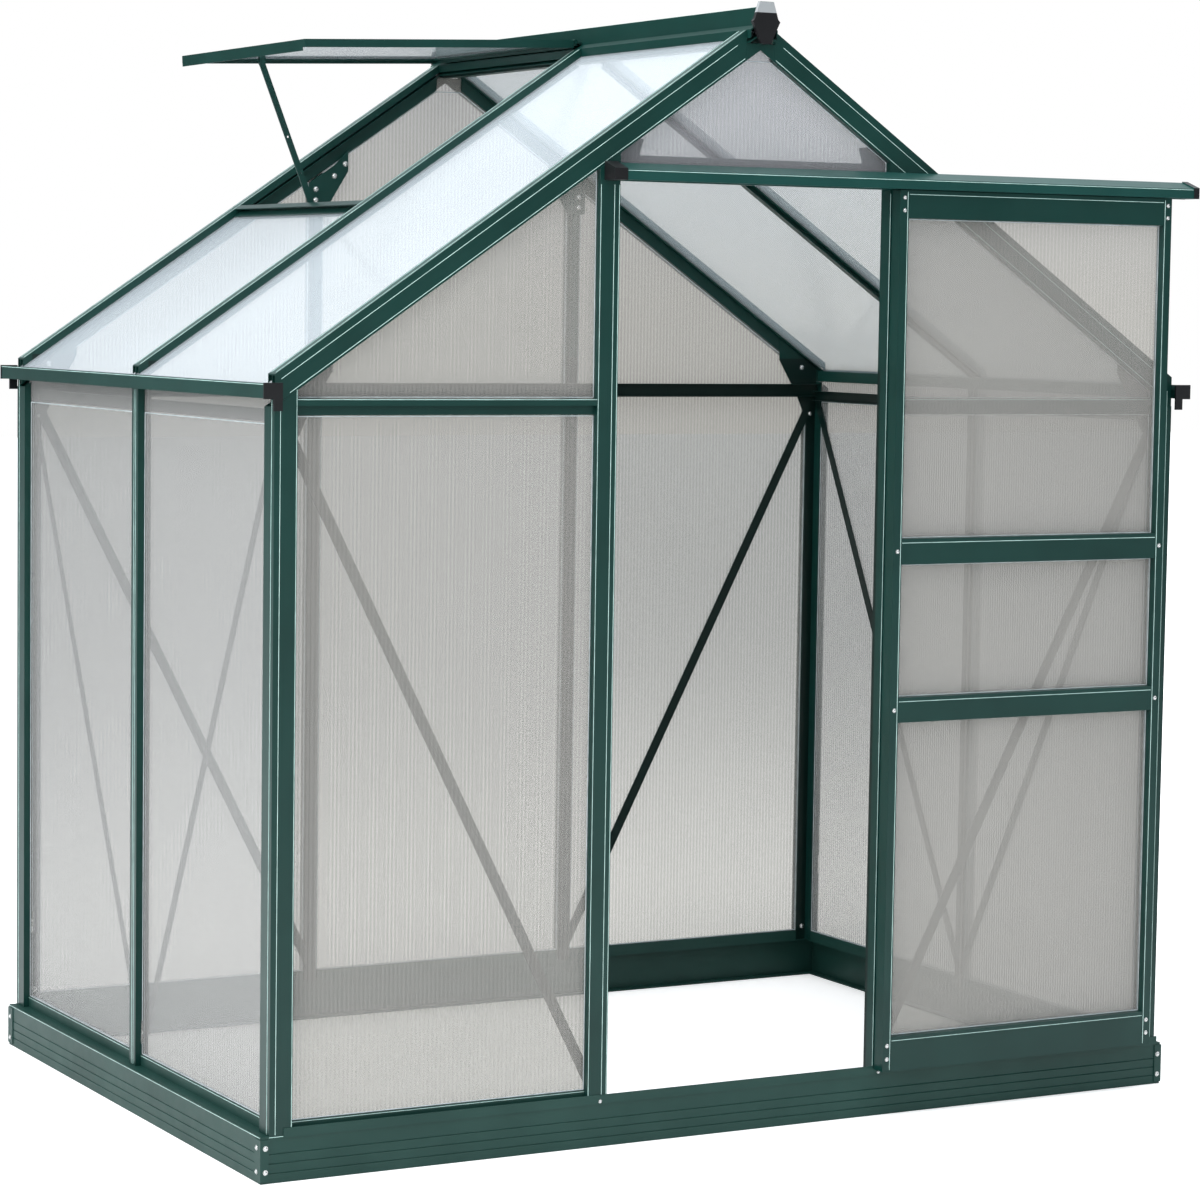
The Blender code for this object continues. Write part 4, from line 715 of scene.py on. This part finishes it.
# Stage: gradients are (height of the direction, colour), lamps are (name, place, size, power)
FLOOR_HALF, FLOOR_DROP = 30.0, 0.0005
GLOW_NEAR, GLOW_FAR = (1.4, 0.38), (3.5, 0.95)
FLOOR_THROUGH, FLOOR_DIRECT = (0.76, 0.74, 0.69), (0.93, 0.93, 0.93)
SKY = (
    (0.0, (0.05, 0.06, 0.06)),
    (0.12, (0.10, 0.12, 0.12)),
    (0.40, (0.80, 0.85, 0.90)),
    (1.0, (0.95, 1.0, 1.05)),
)
GARDEN = (
    (0.0, (0.62, 0.61, 0.57)),
    (0.05, (0.60, 0.61, 0.61)),
    (0.16, (0.60, 0.62, 0.64)),
    (1.0, (0.74, 0.78, 0.82)),
)
WHITE = (1.0, 1.0, 1.0, 1.0)
SKY_STRENGTH = 0.95
ONE_FACE_SEEN_THROUGH = 0.5
LAMPS = (
    ("key", (-5.0, -1.0, 3.2), 3.5, 200.0),
    ("top", (0.0, 0.5, 5.5), 5.0, 300.0),
    ("front", (-1.5, -6.5, 2.6), 4.0, 45.0),
)
LAMP_AIM = (0, 0.6, 0.9)


def floor():
    """Pale floor that glows towards its far parts, for rays straight from the camera only."""
    corners = [(x * FLOOR_HALF, y * FLOOR_HALF, 0) for x, y in ((-1, -1), (1, -1), (1, 1), (-1, 1))]
    mesh = bpy.data.meshes.new("floor")
    mesh.from_pydata(corners, [], [(0, 1, 2, 3)])
    obj = bpy.data.objects.new("floor", mesh)
    obj.location = (0, 0, -FLOOR_DROP)
    bpy.context.scene.collection.objects.link(obj)
    paint = Finish("floor_paint", Roughness=0.9, Emission_Color=WHITE)
    far = paint.add("ShaderNodeVectorMath", {"operation": "LENGTH"})
    paint.feed(far.inputs[0], paint.place)
    glow = paint.add(
        "ShaderNodeMapRange", Value=far.outputs["Value"], From_Min=GLOW_NEAR[0], From_Max=GLOW_FAR[0],
        To_Min=GLOW_NEAR[1], To_Max=GLOW_FAR[1],
    )
    path = paint.add("ShaderNodeLightPath").outputs
    direct = paint.math("LESS_THAN", path["Transparent Depth"], ONE_FACE_SEEN_THROUGH)
    straight = paint.math("MULTIPLY", direct, path["Is Camera Ray"])
    paint.wear("Emission Strength", paint.math("MULTIPLY", glow.outputs["Result"], straight))
    paint.wear("Base Color", paint.ramp(direct, [(0.0, FLOOR_THROUGH), (1.0, FLOOR_DIRECT)]))
    mesh.materials.append(paint.material)


def surroundings():
    """White to the camera, a grey garden to it through a sheet, and a soft sky to everything else."""
    world = bpy.data.worlds.new("studio")
    world.use_nodes = True
    room = Wiring(world.node_tree)
    direction = room.add("ShaderNodeTexCoord").outputs["Generated"]
    height = room.add("ShaderNodeSeparateXYZ", Vector=direction).outputs["Z"]
    path = room.add("ShaderNodeLightPath").outputs
    light = world.node_tree.nodes["Background"]
    room.feed(light.inputs["Color"], room.ramp(height, SKY))
    room.feed(light.inputs["Strength"], SKY_STRENGTH)
    white = room.add("ShaderNodeBackground", Color=WHITE)
    through = room.add("ShaderNodeBackground", Color=room.ramp(height, GARDEN))
    behind = room.math("GREATER_THAN", path["Transparent Depth"], ONE_FACE_SEEN_THROUGH)

    def either(share, first, second):
        node = room.add("ShaderNodeMixShader")
        for socket, output in zip(node.inputs, (share, first, second)):
            room.feed(socket, output)
        return node.outputs[0]

    seen = either(behind, white.outputs[0], through.outputs[0])
    whole = either(path["Is Camera Ray"], light.outputs[0], seen)
    room.feed(world.node_tree.nodes["World Output"].inputs["Surface"], whole)
    bpy.context.scene.world = world


def lamps():
    """A broad key from the left, one over the top and a weak fill from the front."""
    for name, at, size, power in LAMPS:
        data = bpy.data.lights.new(name, "AREA")
        data.energy = power
        data.size = size
        lamp = bpy.data.objects.new(name, data)
        lamp.location = at
        lamp.visible_camera = False
        aim = Vector(LAMP_AIM) - Vector(at)
        lamp.rotation_euler = aim.to_track_quat("-Z", "Y").to_euler()
        bpy.context.scene.collection.objects.link(lamp)


def studio():
    """Floor, surroundings and lamps, shown without any grading."""
    floor()
    surroundings()
    lamps()
    bpy.context.scene.view_settings.view_transform = "Standard"


camera()
studio()
dress_nodes()
fixings()
painted_highlights()
clips()
seals()
